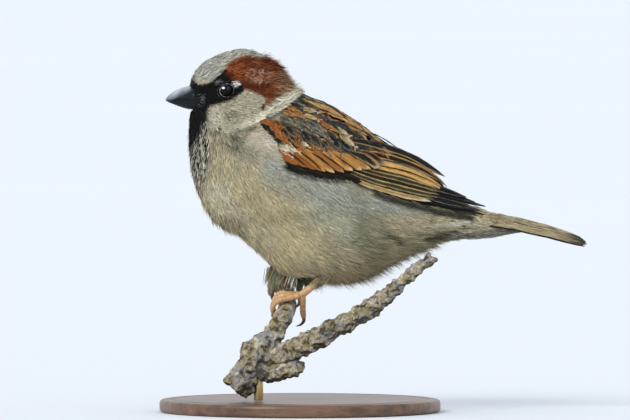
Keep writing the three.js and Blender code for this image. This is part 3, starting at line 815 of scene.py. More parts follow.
def sewStrips(name, points, tone, unwrap, material):
    # every barb is a strip of seven points, with its patch of the skin's unwrap
    n = len(points)
    base = (np.arange(n) * 7)[:, None]
    quads = (base + np.array([[1, 3, 2, 0, 3, 5, 4, 2]])).reshape(-1, 4)
    tris = (base + np.array([[5, 6, 4]])).reshape(-1, 3)
    piece, loops = meshFromArrays(name, points.reshape(-1, 3), quads, tris)
    addTone(piece, "tone", tone.reshape(-1, 3))
    perVertex = (unwrap[:, None, :] + barbPatch[None]).reshape(-1, 2)
    addUv(piece, "OFBake", perVertex[loops])
    finishPiece(piece, material)
    print(name, n, "barbs,", n * 5, "triangles")


def growBarbs(name, roots, ways, normals, length, width, lift, sink, tone, tipTone, unwrap, material,
        roll, hang=None):
    n = len(roots)
    steps = 3
    spine = [roots - normals * sink[:, None]]
    ups = [normals]
    here, heading = roots, ways
    for k in range(1, steps + 1):
        there = here + heading * (length / steps)[:, None]
        if hang is not None:
            # these stand free of the skin and droop
            heading = unit(heading + np.array((0, 0, -hang)))
            spine.append(there)
            ups.append(normals)
            here = there
            continue
        places, up, faces = nearest(there)
        spine.append(places + up * (0.08 + lift * (k / steps) ** 1.6)[:, None])
        ups.append(up)
        heading = heading - up * dot(heading, up)
        heading = unit(unit(heading) * 0.8 + faceWays[faces] * 0.2)
        here = places
    points = np.empty((n, 7, 3))
    for k in range(steps):
        toward = unit(spine[min(k + 1, steps)] - spine[max(k - 1, 0)])
        side = unit(np.cross(ups[k], toward))
        side = unit(side * np.cos(roll)[:, None] + ups[k] * np.sin(roll)[:, None])
        half = (width * (0.42, 0.5, 0.34)[k])[:, None]
        points[:, 2 * k] = spine[k] + side * half
        points[:, 2 * k + 1] = spine[k] - side * half
    points[:, 6] = spine[steps]
    # each barb darker at the root: partly the feathers' grey bases, partly painted shade where the roots lie
    # under the coat
    baseGreyAndShade = np.array([0.72, 0.72, 0.94, 0.94, 1.04, 1.04, 1.1])
    vertexTones = tone[:, None, :] * baseGreyAndShade[None, :, None]
    ends = tipTone[:, None] > 0
    fringe = np.where(tipTone[:, None] > 1.5, tones["paleFleck"], tones["fringe"])
    vertexTones[:, 6] = np.where(ends, fringe, vertexTones[:, 6])
    vertexTones[:, 4:6] = np.where(ends[:, None], fringe[:, None] * 0.8, vertexTones[:, 4:6])
    sewStrips(name, points, vertexTones, unwrap, material)


# where the feet hold the twig, and the ankles
grips = {
    "left": {"at": (-4.1, -7.5, 33.4), "along": (0.06, 0.84, 0.4), "inward": 1,
        "ankle": (15.6, -10.2, 49.8)},
    "right": {"at": (-5.0, 7.5, 38.8), "along": (-0.2, 0.93, 0.3), "inward": -1,
        "ankle": (12.4, 9.8, 54.6)},
}

faceParts = coatShares(faceMiddles)
plumeFinish = featherMaterial("softPlumage")
detail = 1.0
for part, (name, cut) in enumerate(coatParts.items()):
    roots, faces = scattered(part, cut["spacing"] / detail ** 0.5)
    count = cut["barbs"]
    roots, faces = np.repeat(roots, count, 0), np.repeat(faces, count)
    n = len(roots)
    normals, ways = faceNormals[faces], faceWays[faces]
    angle = np.radians(cut["spread"]) * chance.uniform(-1, 1, n)
    ways = turned(ways, normals, np.repeat(np.radians(8) * chance.normal(0, 1, n // count), count)
        + np.radians(12) * mottle(roots, 7, 31))
    back = chance.random(n) * 0.45
    across = np.cross(normals, ways)
    length = cut["length"] * (0.72 + 0.5 * chance.random(n)) * (1 - 0.35 * np.abs(angle)
        / np.radians(cut["spread"]))
    starts = roots + ways * (back * length)[:, None] + across * (angle * length * 0.35)[:, None]
    ways = turned(ways, normals, angle)
    # nothing grows over the eyes, over the folded wing, nor where the bill comes out
    middle = starts + ways * (length * 0.5)[:, None]
    end = starts + ways * length[:, None]
    near = np.minimum(np.hypot(*(middle - eyePlace)[:, [0, 2]].T),
        np.hypot(*(end - eyePlace)[:, [0, 2]].T))
    near = np.minimum(near, np.hypot(*(starts - eyePlace)[:, [0, 2]].T))
    keep = near > eyeBare + 0.25 * chance.random(n)
    keep &= inside(starts + ways * (length * 0.6)[:, None], wingOutline,
        0.5 + 2.2 * chance.random(n)) < 0.62
    keep &= inside(starts, headPatches["horn"], 0.5) < 0.5
    tuft = np.repeat(np.arange(n // count), count)[keep]
    roots, starts, ways, normals, length = roots[keep], starts[keep], ways[keep], normals[keep], length[keep]
    faces = faces[keep]
    n = len(roots)
    gx, gy = toGrid(starts)
    tone, tipTone = markings(starts + ways * (length * 0.55)[:, None] + chance.normal(0, 0.14, (n, 3)))
    each = np.exp(chance.normal(0, 0.09, (tuft.max() + 1, 1)))[tuft]
    tone = tone * each * (1 + np.array((0.6, 0, -1)) * chance.normal(0, 0.04, (n, 1)))
    width = cut["width"] * (0.7 + 0.6 * chance.random(n))
    lift = cut["lift"] * (0.3 + 1.2 * chance.random(n) ** 2)
    # loose ends: on the nape, under the belly and on the breast
    loose = chance.random(tuft.max() + 1)[tuft]
    if name == "coatNape":
        lift = lift + 2.3 * (loose < 0.3) * chance.random(n) * (gx > 258)
    if name == "coatCrown":
        lift = lift + (0.5 + 1.1 * (gx > 246)) * (loose < 0.2) * chance.random(n)
    # a ruffled fold across the breast
    ruffle = spot(starts, 219, 219, 14, 12) * (np.abs(normals[:, 1]) < 0.75)
    lift = lift + ruffle * (0.25 + 1.9 * (loose < 0.6) * chance.random(n))
    if name in ("coatFlanks", "coatVent", "coatBreast", "coatThroat"):
        under = limited(-normals[:, 2] * 1.4 - 0.35) * np.clip((gx - 296) / 20, 0,
            1) * limited((440 - gx) / 30)
        lift = lift + under * (0.3 + 3.3 * (loose < 0.6) * chance.random(n))
        length = length * (1 + 0.35 * under)
        breast = (loose < 0.1) * (gy > 120) * (np.abs(normals[:, 1]) < 0.5)
        lift = lift + 1.0 * breast * chance.random(n)
        # the thighs' feathers hang over the tops of the legs
        for grip in grips.values():
            ankle = np.array(grip["ankle"])
            reach = np.linalg.norm(starts - ankle - np.array((-1.5, 0, 2.6)), axis=1)
            lift = lift + 1.9 * limited(1.35 - reach / 4.2) * (0.5 + 0.6 * chance.random(n))
    roll = np.radians(28) * chance.normal(0, 1, n)
    unwrap = guideUnwrap[guideFaces[faces, 0]]
    # the largest part is laid as two pieces
    halves = {"Left": starts[:, 1] < 0,
        "Right": starts[:, 1] >= 0} if name == "coatFlanks" else {"": np.full(n, True)}
    for half, own in halves.items():
        growBarbs(name + half, starts[own], ways[own], normals[own], length[own], width[own], lift[own],
            np.full(own.sum(), cut["sink"]), tone[own], tipTone[own], unwrap[own], plumeFinish,
            roll[own])


def nearTwig(grip, place, shift=0.0):
    along = Vector(grip["along"]).normalized()
    rise = (Vector((0, 0, 1)) - along * along.z).normalized()
    front = along.cross(rise).normalized()
    if front.x > 0:
        front.negate()
    return Vector(grip["at"]) + rise * place[1] + front * place[0] + along * shift


# wisps under the belly, in locks, and the feathers of the thighs over the tops of the legs
locks, each = (330), 9
lockX = chance.uniform(306, 432, locks)
lockY = np.interp(lockX, [300, 330, 350, 380, 410, 435],
    [276, 283, 285, 279, 263, 249]) - chance.uniform(-5, 3, locks)
placeX, placeZ = fromGrid(lockX, lockY)
lockRoots, _, lockFaces = nearest(np.stack([placeX, chance.uniform(-7, 7, locks), placeZ], -1))
lockNormals = faceNormals[lockFaces]
below = np.radians(np.interp(lockX, [306, 350, 390, 432], [46, 36, 26, 14]) + chance.normal(0, 6, locks))
lockWays = unit(np.stack([np.cos(below), lockNormals[:, 1] * 0.4, -np.sin(below)], -1))
roots, ways = np.repeat(lockRoots, each, 0), np.repeat(lockWays, each, 0)
normals, faces = np.repeat(lockNormals, each, 0), np.repeat(lockFaces, each)
n = len(roots)
length = chance.uniform(3.8, 8.2, n)
roots = roots + chance.normal(0, 0.55, (n, 3)) - ways * 1.6
ways = unit(ways + chance.normal(0, 0.07, (n, 3)))
tone, tipTone = markings(roots)
tone = tone * 0.82
for grip in grips.values():
    ankle, knuckle = np.array(grip["ankle"]), np.array(nearTwig(grip, (-4.9, 4.9)))
    more = 420
    drop = unit(knuckle - ankle)
    way = np.tile(drop, (more, 1)) + chance.normal(0, 0.16, (more, 3)) + np.array((0.12, 0, -0.05))
    ring = chance.normal(0, 1, (more, 3))
    ring = unit(ring - drop * dot(ring, drop))
    start = ankle + drop * chance.uniform(7.5, 12.8, more)[:, None] + ring * chance.uniform(0.9, 1.7,
        more)[:, None]
    roots, ways, normals = np.vstack([roots, start]), np.vstack([ways, unit(way)]), np.vstack([normals,
            ring])
    length = np.concatenate([length, chance.uniform(1.8, 3.8, more)])
    _, _, near = nearest(start)
    faces = np.concatenate([faces, near])
    shade = np.tile(tones["belly"] * 0.85, (more, 1)) * chance.uniform(0.45, 1.15, (more, 1))
    tone, tipTone = np.vstack([tone, shade]), np.concatenate([tipTone, np.zeros(more)])
# tufts that hang in front of the far foot: root, tip, how far out to the side, tone, number
for startX, startY, endX, endY, out, shade, more in [
    (280, 273, 275, 290, 2.2, (0.27, 0.265, 0.17), 260),
    (284, 275, 279.5, 289, 1.0, (0.34, 0.32, 0.2), 150),
    (273.5, 268, 270, 288.5, 4.6, (0.29, 0.28, 0.18), 230),
    (288, 278, 285, 288, -3.4, (0.15, 0.085, 0.05), 90),
    (295, 277, 292, 289, -4.4, (0.4, 0.39, 0.34), 170),
    (302, 278, 298, 289.5, -5.0, (0.05, 0.055, 0.035), 220),
    (308, 278, 305, 287, -5.4, (0.1, 0.1, 0.06), 120),
    (213, 209, 217, 226, -3.0, (0.24, 0.21, 0.12), 90),
    (219, 214, 226, 232.5, -3.4, (0.19, 0.165, 0.09), 100),
    (228, 219, 236.5, 234.5, -3.2, (0.26, 0.22, 0.12), 90),
    (209, 203, 212, 217, -2.6, (0.4, 0.36, 0.25), 60),
    (223, 214, 231, 233, -1.5, (0.36, 0.32, 0.2), 90)]:
    topX, topZ = fromGrid(startX, startY)
    endX, endZ = fromGrid(endX, endY)
    top, end = np.array([topX, out, topZ]), np.array([endX, out, endZ])
    start = top + chance.normal(0, 1, (more, 3)) * (0.85, 0.7, 0.5)
    way = unit((end - top) / np.linalg.norm(end - top) + chance.normal(0, 0.12, (more, 3)))
    roots, ways = np.vstack([roots, start]), np.vstack([ways, way])
    normals = np.vstack([normals, np.tile((0.0, -1.0, 0.0), (more, 1))])
    length = np.concatenate([length, np.linalg.norm(end - top) * chance.uniform(0.5, 1.0, more)])
    faces = np.concatenate([faces, nearest(start)[2]])
    tone = np.vstack([tone, np.array(shade) * np.exp(chance.normal(0, 0.3, (more, 1)))])
    tipTone = np.concatenate([tipTone, np.zeros(more)])
n = len(roots)
growBarbs("coatWisps", roots, ways, normals, length, chance.uniform(0.17, 0.3, n), np.zeros(n),
    np.full(n, 0.1),
    tone, tipTone, guideUnwrap[guideFaces[faces, 0]], plumeFinish,
    np.radians(40) * chance.normal(0, 1, n),
    hang=0.06)

# bristles round the root of the bill, pointing forwards
rootLine = [(190, 84), (194, 87), (199, 90), (204, 94), (206.5, 98), (205.5, 102), (203, 105), (199, 107),
    (194, 110)]
n = 520
along = chance.random(n) * (len(rootLine) - 1)
placeX = np.interp(along, range(len(rootLine)),
    [spotX for spotX, _ in rootLine]) + chance.normal(0.8, 1.1, n)
placeY = np.interp(along, range(len(rootLine)), [spotY for _, spotY in rootLine]) + chance.normal(0, 1.0,
    n)
onLeft = chance.random(n) < 0.5
starts = np.vstack([fromSide(x, y, left)[0] for x, y, left in zip(placeX, placeY, onLeft)])
starts, normals, faces = nearest(starts)
forward = np.stack([-np.cos(along * 0.12), 0 * along, -0.75 + along * 0.2], -1)
ways = unit(forward - normals * dot(forward, normals))
ways = turned(ways, normals, np.radians(26) * chance.normal(0, 1, n))
paleOnes = chance.random(n) < 0.26 * (np.abs(along - 5) < 2.2)
tone = np.where(paleOnes[:, None], (0.17, 0.18, 0.18), (0.01, 0.01, 0.01)) * chance.uniform(0.6, 1.4,
    (n, 1))
growBarbs("coatBristles", starts, ways, normals, chance.uniform(0.8, 2.2, n),
    np.where(paleOnes, 0.11, 0.16),
    chance.uniform(0.1, 0.6, n), np.full(n, 0.3), tone, np.zeros(n),
    guideUnwrap[guideFaces[faces, 0]],
    plumeFinish, np.radians(28) * chance.normal(0, 1, n))


# the skin under the coat: one surface over head, neck, trunk and vent
skinCare = {"body": 1.5, "head": 0.75, "voxel": 0.9}
skin = copyOfNodes("skin", ["head", "neck", "trunk", "vent"])
applyOn(skin, "DISPLACE", strength=0.45 * mm, mid_level=0.0)
applyOn(skin, "REMESH", mode="VOXEL", voxel_size=skinCare["voxel"] * mm)
applyOn(skin, "SMOOTH", factor=0.6, iterations=8)
points = vertsOf(skin)
places, ups, faces = nearest(points)
gx, gy = toGrid(points)
depth = np.where((gy < 128) & (gx < 300), skinCare["head"], skinCare["body"])
inwards = ((points - places) * ups).sum(1)
setVerts(skin, places + ups * np.minimum(inwards, -depth)[:, None])
skinTone, _ = markings(places)
skinTone *= 0.7
addTone(skin, "tone", skinTone)
print("skin:", len(points), "points")


# lids: a beaded ring round each eye, set into the skin
lidCare = {"ring": 2.22, "thick": 0.14, "outerRing": 3.0, "outerThick": 0.12}
eyeRadius = 2.6
eyeCentres = {}
for side in ("left", "right"):
    low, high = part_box("eye_" + side)
    eyeCentres[side] = np.array([-23.6, (low.y / mm + eyeRadius) if side == "left"
            else (high.y / mm - eyeRadius), 103.3])
lidRings = []
for side, centre in eyeCentres.items():
    spotOut, _, _ = nearest(centre[None] + np.array([[0, -3.0 if side == "left" else 3.0, 0]]))
    facing = Vector(unit(spotOut - centre[None])[0]).to_track_quat("Z", "Y")
    for ring, thick, lift in ((lidCare["ring"], lidCare["thick"], 0.12),
            (lidCare["outerRing"], lidCare["outerThick"], -0.16)):
        nothingPicked()
        at = Vector(spotOut[0] + unit(spotOut - centre[None])[0] * lift) * mm
        bpy.ops.mesh.primitive_torus_add(location=(0, 0, 0), major_radius=ring * mm,
            minor_radius=thick * mm,
            major_segments=72, minor_segments=8)
        lid = bpy.context.object
        lid.name = "lid"
        shape = vertsOf(lid)
        angle = np.arctan2(shape[:, 1], shape[:, 0])
        bead = 1 + 0.05 * np.sin(angle * 23) + 0.03 * np.sin(angle * 41 + 1)
        shape[:, 2] *= bead * 1.3
        shape[:, :2] *= (1 + 0.05 * np.abs(np.cos(angle)) ** 8 + 0.008 * np.sin(angle * 23))[:, None]
        setVerts(lid, shape)
        lid.rotation_mode = "QUATERNION"
        lid.rotation_quaternion = facing
        lid.location = at
        placeApplied(lid)
        shape = vertsOf(lid)
        # the face narrows towards the bill, so the ring is laid down on it
        places, ups, _ = nearest(shape)
        off = dot(shape - places, ups)
        wanted = 0.5 + 0.2 * (ring < 2.3)
        setVerts(lid, shape - ups * np.clip(off - wanted, 0, None) * 0.85)
        worn = np.clip(0.8 - 0.35 * np.sin(angle + 0.4) + 0.45 * np.sin(angle * 9), 0.25, 1.4)
        addTone(lid, "tone", tones["greyLid"] * (0.95 if ring < 2.3 else 0.22) * worn[:, None])
        lidRings.append(lid)


# legs and feet: scaled skin round the same lines as the frame's
legCare = {"scutePitch": 0.95, "scuteDepth": 0.075, "voxel": 0.17}
toes = [(98, 2.5, 0.85), (126, 0, 1.0), (102, -2.5, 0.85)]  # how far round the twig, sideways, radius
toeRide, clawSweep = 4.35, 50


def arcPlaces(radiusAt, start, stop, count):
    spots = []
    for i in range(count):
        u = i / (count - 1)
        angle = math.radians(start + (stop - start) * u)
        spots.append((radiusAt(u) * math.sin(angle), radiusAt(u) * math.cos(angle)))
    return spots


def throughPoints(points, radii, perSpan=8):
    rows = np.array([list(p) for p in points], float)
    s = np.linspace(0, len(rows) - 1, (len(rows) - 1) * perSpan + 1)
    wide = np.interp(s / (len(rows) - 1), np.linspace(0, 1, len(radii)), radii)
    return alongRows(rows, s), wide


def tubeAlong(name, points, radii, roundness=5, perSpan=8):
    path, wide = throughPoints(points, radii, perSpan)
    curve = bpy.data.curves.new(name, "CURVE")
    curve.dimensions = "3D"
    curve.bevel_depth = mm
    curve.bevel_resolution = roundness
    curve.use_fill_caps = True
    spline = curve.splines.new("POLY")
    spline.points.add(len(path) - 1)
    for knot, place, radius in zip(spline.points, path, wide):
        knot.co = (*(place * mm), 1)
        knot.radius = radius
    piece = bpy.data.objects.new(name, curve)
    bpy.context.collection.objects.link(piece)
    pick(piece)
    bpy.ops.object.convert(target="MESH")
    return bpy.context.object, path


footTubes, footPaths, clawPieces = [], [], []
for side, grip in grips.items():
    knuckle = nearTwig(grip, (-4.9, 4.9))
    for reach, away, radius in toes:
        shift = away * grip["inward"]
        path = arcPlaces(lambda u: toeRide + 0.3 * math.sin(math.pi * u), -4, reach, 6)
        spots = [nearTwig(grip, place, shift * min(1, 0.55 + 0.3 * i)) for i, place in enumerate(path)]
        girths = [1.1, radius + 0.12, radius + 0.05, radius, 0.85 * radius, radius * 0.9, 0.62 * radius]
        tube, line = tubeAlong("toe", [knuckle, *spots], girths)
        footTubes.append(tube)
        footPaths.append(line)
        hook = arcPlaces(lambda u: toeRide + 0.7 * math.sin(math.pi * u) - 0.6 * u, reach - 7,
            reach + 4 + clawSweep, 6)
        claw, _ = tubeAlong("claw", [nearTwig(grip, place, shift) for place in hook],
            [0.62, 0.55, 0.42, 0.27, 0.09])
        clawPieces.append(claw)
    hind = [knuckle, *[nearTwig(grip, place) for place in ((-5.1, 2.4), (-5.0, -0.6), (-5.2, -3.4))]]
    tube, line = tubeAlong("toe", hind, [1.15, 1.08, 1.0, 0.95, 0.98, 0.75])
    footTubes.append(tube)
    footPaths.append(line)
    hook = [nearTwig(grip, place) for place in ((-5.2, -2.9), (-5.15, -4.6), (-4.1, -5.9), (-2.6, -6.5))]
    claw, _ = tubeAlong("claw", hook, [0.66, 0.56, 0.36, 0.1])
    clawPieces.append(claw)
    ankle = Vector(grip["ankle"])
    shank = [knuckle, knuckle.lerp(ankle, 0.3), knuckle.lerp(ankle, 0.65), ankle,
        ankle + (ankle - knuckle) * 0.12]
    tube, line = tubeAlong("shank", shank, [1.25, 1.1, 1.05, 1.15, 1.5, 1.6])
    footTubes.append(tube)
    footPaths.append(line)
feet = joined(footTubes)
feet.name = "feet"
applyOn(feet, "REMESH", mode="VOXEL", voxel_size=legCare["voxel"] * mm)
applyOn(feet, "SMOOTH", factor=0.5, iterations=3)
points = vertsOf(feet)
lookup = KDTree(sum(len(line) for line in footPaths))
lineFacts = []
for line in footPaths:
    run = np.concatenate([[0], np.cumsum(np.linalg.norm(np.diff(line, axis=0), axis=1))])
    for place, a in zip(line, run):
        lookup.insert(place, len(lineFacts))
        lineFacts.append((place, a))
lookup.balance()
scutes = np.empty(len(points))
outward = np.empty((len(points), 3))
for i, p in enumerate(points):
    hits = lookup.find_n(p, 2)
    weights = np.array([1 / (h[2] + 0.05) for h in hits])
    run = sum(w * lineFacts[h[1]][1] for w, h in zip(weights, hits)) / weights.sum()
    outward[i] = p - lineFacts[hits[0][1]][0]
    phase = (run / legCare["scutePitch"]) % 1.0
    scutes[i] = min(phase / 0.18, (1 - phase) / 0.18, 1.0)
outward = unit(outward)
setVerts(feet, points + outward * ((scutes - 0.6) * legCare["scuteDepth"])[:, None])
orange, lowerBrown = np.array((0.62, 0.37, 0.17)), np.array((0.27, 0.125, 0.08))
# the feet darker towards the bottom
drop = limited((38 - points[:, 2]) / 12)[:, None] * 0.75
footTone = (orange * (1 - drop) + lowerBrown * drop) * (0.55 + 0.45 * scutes[:, None])
# the far foot painted darker: painted shade on the far side
footTone = footTone * np.where(points[:, 1:2] > 0, np.array([[0.38, 0.44, 0.55]]),
    1.0) * chance.uniform(0.9, 1.1, (len(points), 1))
addTone(feet, "tone", footTone)

feltFinish = featherMaterial("bareDown", roughness=0.85)
scaleFinish, shader = newMaterial("footScales", Roughness=0.42, Coat_Weight=0.12, Coat_Roughness=0.35)
shader.inputs["Subsurface Weight"].default_value = 0.08
shader.inputs["Subsurface Radius"].default_value = (0.0012, 0.0006, 0.0003)
where = objectPlace()
grain = noiseNode(where, 1500.0, 4.0)
tone = storedTone()
worn = rangeNode(noiseNode(where, 420.0, 3.0), 0.35, 0.7, 0.0, 0.5)
colour = mixTone(worn, tone, mixTone(0.45, tone, (0.16, 0.075, 0.04)))
paint(shader, colour)
bumpOn(shader, grain, 0.3, 0.00008)
hornFinish, shader = newMaterial("clawHorn", Roughness=0.3, Coat_Weight=0.2, Coat_Roughness=0.2)
where = objectPlace()
grain = noiseNode(where, 700.0, 4.0)
wire(mixTone(rangeNode(grain, 0.3, 0.7), (0.055, 0.032, 0.024), (0.15, 0.09, 0.062)),
    shader.inputs["Base Color"])
bumpOn(shader, grain, 0.15, 0.00005)

claws = joined(clawPieces)
claws.name = "claws"
smoothShaded(claws)
finishPiece(claws, hornFinish)

for part, finish in ((skin, feltFinish), (feet, scaleFinish), *[(lid, feltFinish) for lid in lidRings]):
    part.data.materials.clear()
    part.data.materials.append(finish)
joined([skin, feet, *lidRings])
smoothShaded(skin)
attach(skin, "root")
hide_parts("head", "neck", "trunk", "vent", "leg_left", "leg_right", "foot_left", "foot_right")
print("skin, lids, legs and feet done:", len(skin.data.polygons), "faces")


# the eyes
eyeCare = {"iris": 1.75, "pupil": 1.15, "bulge": 0.16}
eyeFinish, shader = newMaterial("wetEye", Roughness=0.04, IOR=1.22)
where = objectPlace()
centring = mappedBy(where, Location=(23.6 * mm, 0, -103.3 * mm))
split = splitXyz(centring)
across = mathNode("POWER", split[0], 2.0)
upward = mathNode("POWER", split[2], 2.0)
away = mathNode("SQRT", plus(across, upward))
fibre = noiseNode(centring, 2400.0, 4.0)
irisTone = mixTone(rangeNode(fibre, 0.3, 0.7), (0.006, 0.004, 0.003), (0.016, 0.009, 0.006))
rim = rangeNode(away, eyeCare["iris"] * mm * 0.86, eyeCare["iris"] * mm)
colour = mixTone(rim, irisTone, (0.004, 0.004, 0.004))
pupil = rangeNode(away, eyeCare["pupil"] * mm * 0.94, eyeCare["pupil"] * mm)
colour = mixTone(pupil, (0.002, 0.002, 0.002), colour)
# a painted highlight: the window's reflection painted into the eye's colour, and its fainter painted echo
for (offX, offZ), (wide, high), soft, paintedGlint in (((-0.82, 0.5), (0.66, 0.46), 0.45, (0.8, 0.84, 0.9)),
        ((0.75, 0.35), (0.55, 0.75), 0.2, (0.035, 0.036, 0.042))):
    aside = mathNode("DIVIDE", minus(split[0], offX * mm), wide * mm)
    above = mathNode("DIVIDE", minus(split[2], offZ * mm), high * mm)
    far = mathNode("SQRT", plus(mathNode("POWER", aside, 2.0),
            mathNode("POWER", above, 2.0)))
    colour = mixTone(rangeNode(far, soft, 1.0), paintedGlint, colour)
paint(shader, colour)
for side, centre in eyeCentres.items():
    nothingPicked()
    bpy.ops.mesh.primitive_uv_sphere_add(segments=64, ring_count=40, radius=eyeRadius * mm,
        location=(0, 0, 0))
    eye = bpy.context.object
    eye.name = "eye" + side.capitalize()
    shape = vertsOf(eye)
    outer = -1 if side == "left" else 1
    swell = limited(shape[:, 1] * outer / eyeRadius - 0.72) / 0.28
    shape[:, 1] += outer * eyeCare["bulge"] * swell ** 1.5
    setVerts(eye, shape + centre)
    smoothShaded(eye)
    finishPiece(eye, eyeFinish, ["eye_" + side])
print("eyes done")


# the bill
billCare = {"voxel": 0.2, "ridge": 0.18}
mouth = np.array([(-45, 99.9), (-42.6, 99.6), (-39, 99.8), (-35.6, 99.9), (-33, 99.2), (-28, 97.4)])
billFinish, shader = newMaterial("billHorn", Roughness=0.42)
shader.inputs["Specular IOR Level"].default_value = 0.14
where = objectPlace()
grow = mappedBy(where, Scale=(260.0, 900.0, 1500.0), Rotation=(0, math.radians(-14), 0))
lines = noiseNode(grow, 1.0, 5.0, 0.65)
patches = noiseNode(where, 380.0, 3.0)
tone = storedTone()
shade = rangeNode(lines, 0.3, 0.7, 0.72, 1.2, False)
shade = times(shade, rangeNode(patches, 0.3, 0.7, 0.75, 1.15, False))
wire(shadedBy(tone, shade), shader.inputs["Base Color"])
bumpOn(shader, lines, 0.22, 0.0001)
for node in ("bill_upper", "bill_lower"):
    bill = copyOfNodes(node.replace("_u", "U").replace("_l", "L"), [node])
    applyOn(bill, "REMESH", mode="VOXEL", voxel_size=billCare["voxel"] * mm)
    applyOn(bill, "SMOOTH", factor=0.5, iterations=6)
    points = vertsOf(bill)
    mouthZ = np.interp(points[:, 0], mouth[:, 0], mouth[:, 1])
    gap = points[:, 2] - mouthZ
    if node == "bill_upper":
        points[:, 2] -= np.clip(0.55 - gap, 0, 0.5) * 0.55
        crest = limited(1 - np.abs(points[:, 1]) / 1.1) * limited((gap - 1.0) / 1.5)
        points[:, 2] += billCare["ridge"] * crest
        nostril = np.hypot((points[:, 0] + 35.6) / 0.85, (points[:, 2] - 102.7) / 0.5)
        points[:, 1] *= 1 - 0.2 * limited(1 - nostril)
        points[:, 2] -= 0.62 * np.exp(-((points[:, 0] + 35.4) / 2.6) ** 2) * limited((points[:, 2] - 102)
            / 3)
    else:
        points[:, 2] += np.clip(0.55 + gap, 0, 0.5) * 0.4
    # the root flares into the cheeks
    flare = np.clip((points[:, 0] + 36.6) / 4.2, 0,
        1) ** 1.6 * np.exp(-((points[:, 2] - 100.6) / 3.6) ** 2)
    points[:, 1] *= 1 + 0.72 * flare
    setVerts(bill, points)
    gap = points[:, 2] - np.interp(points[:, 0], mouth[:, 0], mouth[:, 1])
    # the top of the bill painted pale blue-grey along the culmen: a painted highlight over the near-black
    # horn
    crest = np.interp(points[:, 0], [-43, -39, -34, -31], [100.6, 103.0, 105.2, 105.6])
    upper = limited(1 - (crest - 0.4 - points[:, 2]) / 2.2)[:, None] ** 1.4
    tone = np.array((0.008, 0.012, 0.0125)) * (1 - upper) + np.array((0.4, 0.44, 0.5)) * upper
    # a pale rim over the nostril and along the gape
    billX, billY = toGrid(points)
    rim = np.exp(-((np.hypot((billX - 197.5) / 3.4, (billY - 94.3) / 2.5) - 1)
            / 0.2) ** 2) * (billY < 95.5)
    tone = tone + (rim * 0.13)[:, None]
    tone = tone * (1 - 0.55 * limited(1 - np.abs(gap) / 0.35))[:, None]
    tone = tone * (1 - 0.6 * limited((-40.5 - points[:, 0]) / 2.5))[:, None]
    addTone(bill, "tone", tone)
    smoothShaded(bill)
    finishPiece(bill, billFinish, [node])
print("bill done")


# the perch: a cut length of lichened branch
perchCare = {"voxel": 0.4, "knobs": 0.75, "cracks": 0.25}
perch = copyOfNodes("perchBark", ["perch_branch", "perch_grip_twig", "perch_side_twig"])
applyOn(perch, "DISPLACE", strength=0.12 * mm, mid_level=0.0)
applyOn(perch, "REMESH", mode="VOXEL", voxel_size=perchCare["voxel"] * mm)
applyOn(perch, "SMOOTH", factor=0.6, iterations=7)
points = vertsOf(perch)
normals = np.empty(len(points) * 3, np.float32)
perch.data.vertices.foreach_get("normal", normals)
normals = normals.reshape(-1, 3)
held = np.minimum(np.linalg.norm(points - np.array(grips["left"]["at"]), axis=1),
    np.linalg.norm(points - np.array(grips["right"]["at"]), axis=1))
free = np.clip((held - 3.6) / 3.5, 0.08, 1)
lumps = np.array([noise.noise(Vector(p * 0.3)) for p in points])
knots = np.array([noise.noise(Vector(p * 0.75 + 9)) for p in points])
grooves = np.array([1 - abs(noise.noise(Vector((p[0] * 0.8, p[1] * 1.1, p[2] * 0.35)) * 1.3)) * 3
        for p in points])
move = free * (perchCare["knobs"] * (lumps * 1.5 + knots) - perchCare["cracks"]
    * limited(grooves) ** 3)
setVerts(perch, points + normals * move[:, None])
barkFinish, shader = newMaterial("lichenBark", Roughness=0.88)
shader.inputs["Specular IOR Level"].default_value = 0.2
where = objectPlace()
broad = noiseNode(where, 110.0, 3.0, 0.55)
fine = noiseNode(where, 900.0, 5.0, 0.7)
crust = noiseNode(where, 260.0, 5.0, 0.68)
mapped = mappedBy(where, Location=(0.4, 0.7, 0.1))
pale = noiseNode(mapped, 330.0, 4.0, 0.65)
colour = mixTone(rangeNode(fine, 0.36, 0.62), (0.13, 0.105, 0.075), (0.42, 0.37, 0.28))
colour = mixTone(rangeNode(broad, 0.48, 0.58, 0.0, 0.7), colour, (0.27, 0.255, 0.265))
colour = mixTone(rangeNode(crust, 0.52, 0.6, 0.0, 0.75), colour, (0.27, 0.23, 0.085))
colour = mixTone(rangeNode(pale, 0.56, 0.63, 0.0, 0.85), colour, (0.6, 0.55, 0.42))
# dark blotches over the bark
darkBlotches = rangeNode(pale, 0.46, 0.38, 0.0, 0.85)
colour = mixTone(darkBlotches, colour, (0.03, 0.024, 0.016))
# painted shade: the bark darker where its surface faces down
facing = splitXyz(addNode("ShaderNodeNewGeometry").outputs["Normal"])
under = plus(facing["Z"], times(crust, 0.9))
colour = mixTone(rangeNode(under, 0.25, -0.25, 0.0, 0.8), colour, (0.035, 0.03, 0.02))
pits = addNode("ShaderNodeTexVoronoi")
pits.inputs["Scale"].default_value = 620.0
wire(where, pits.inputs["Vector"])
pit = rangeNode(pits.outputs["Distance"], 0.05, 0.3)
paint(shader, colour)
height = plus(times(pit, 0.4), fine)
bumpOn(shader, height, 0.75, 0.0005)
smoothShaded(perch)
finishPiece(perch, barkFinish, ["perch_branch", "perch_grip_twig", "perch_side_twig"])
print("perch done:", len(points), "points")


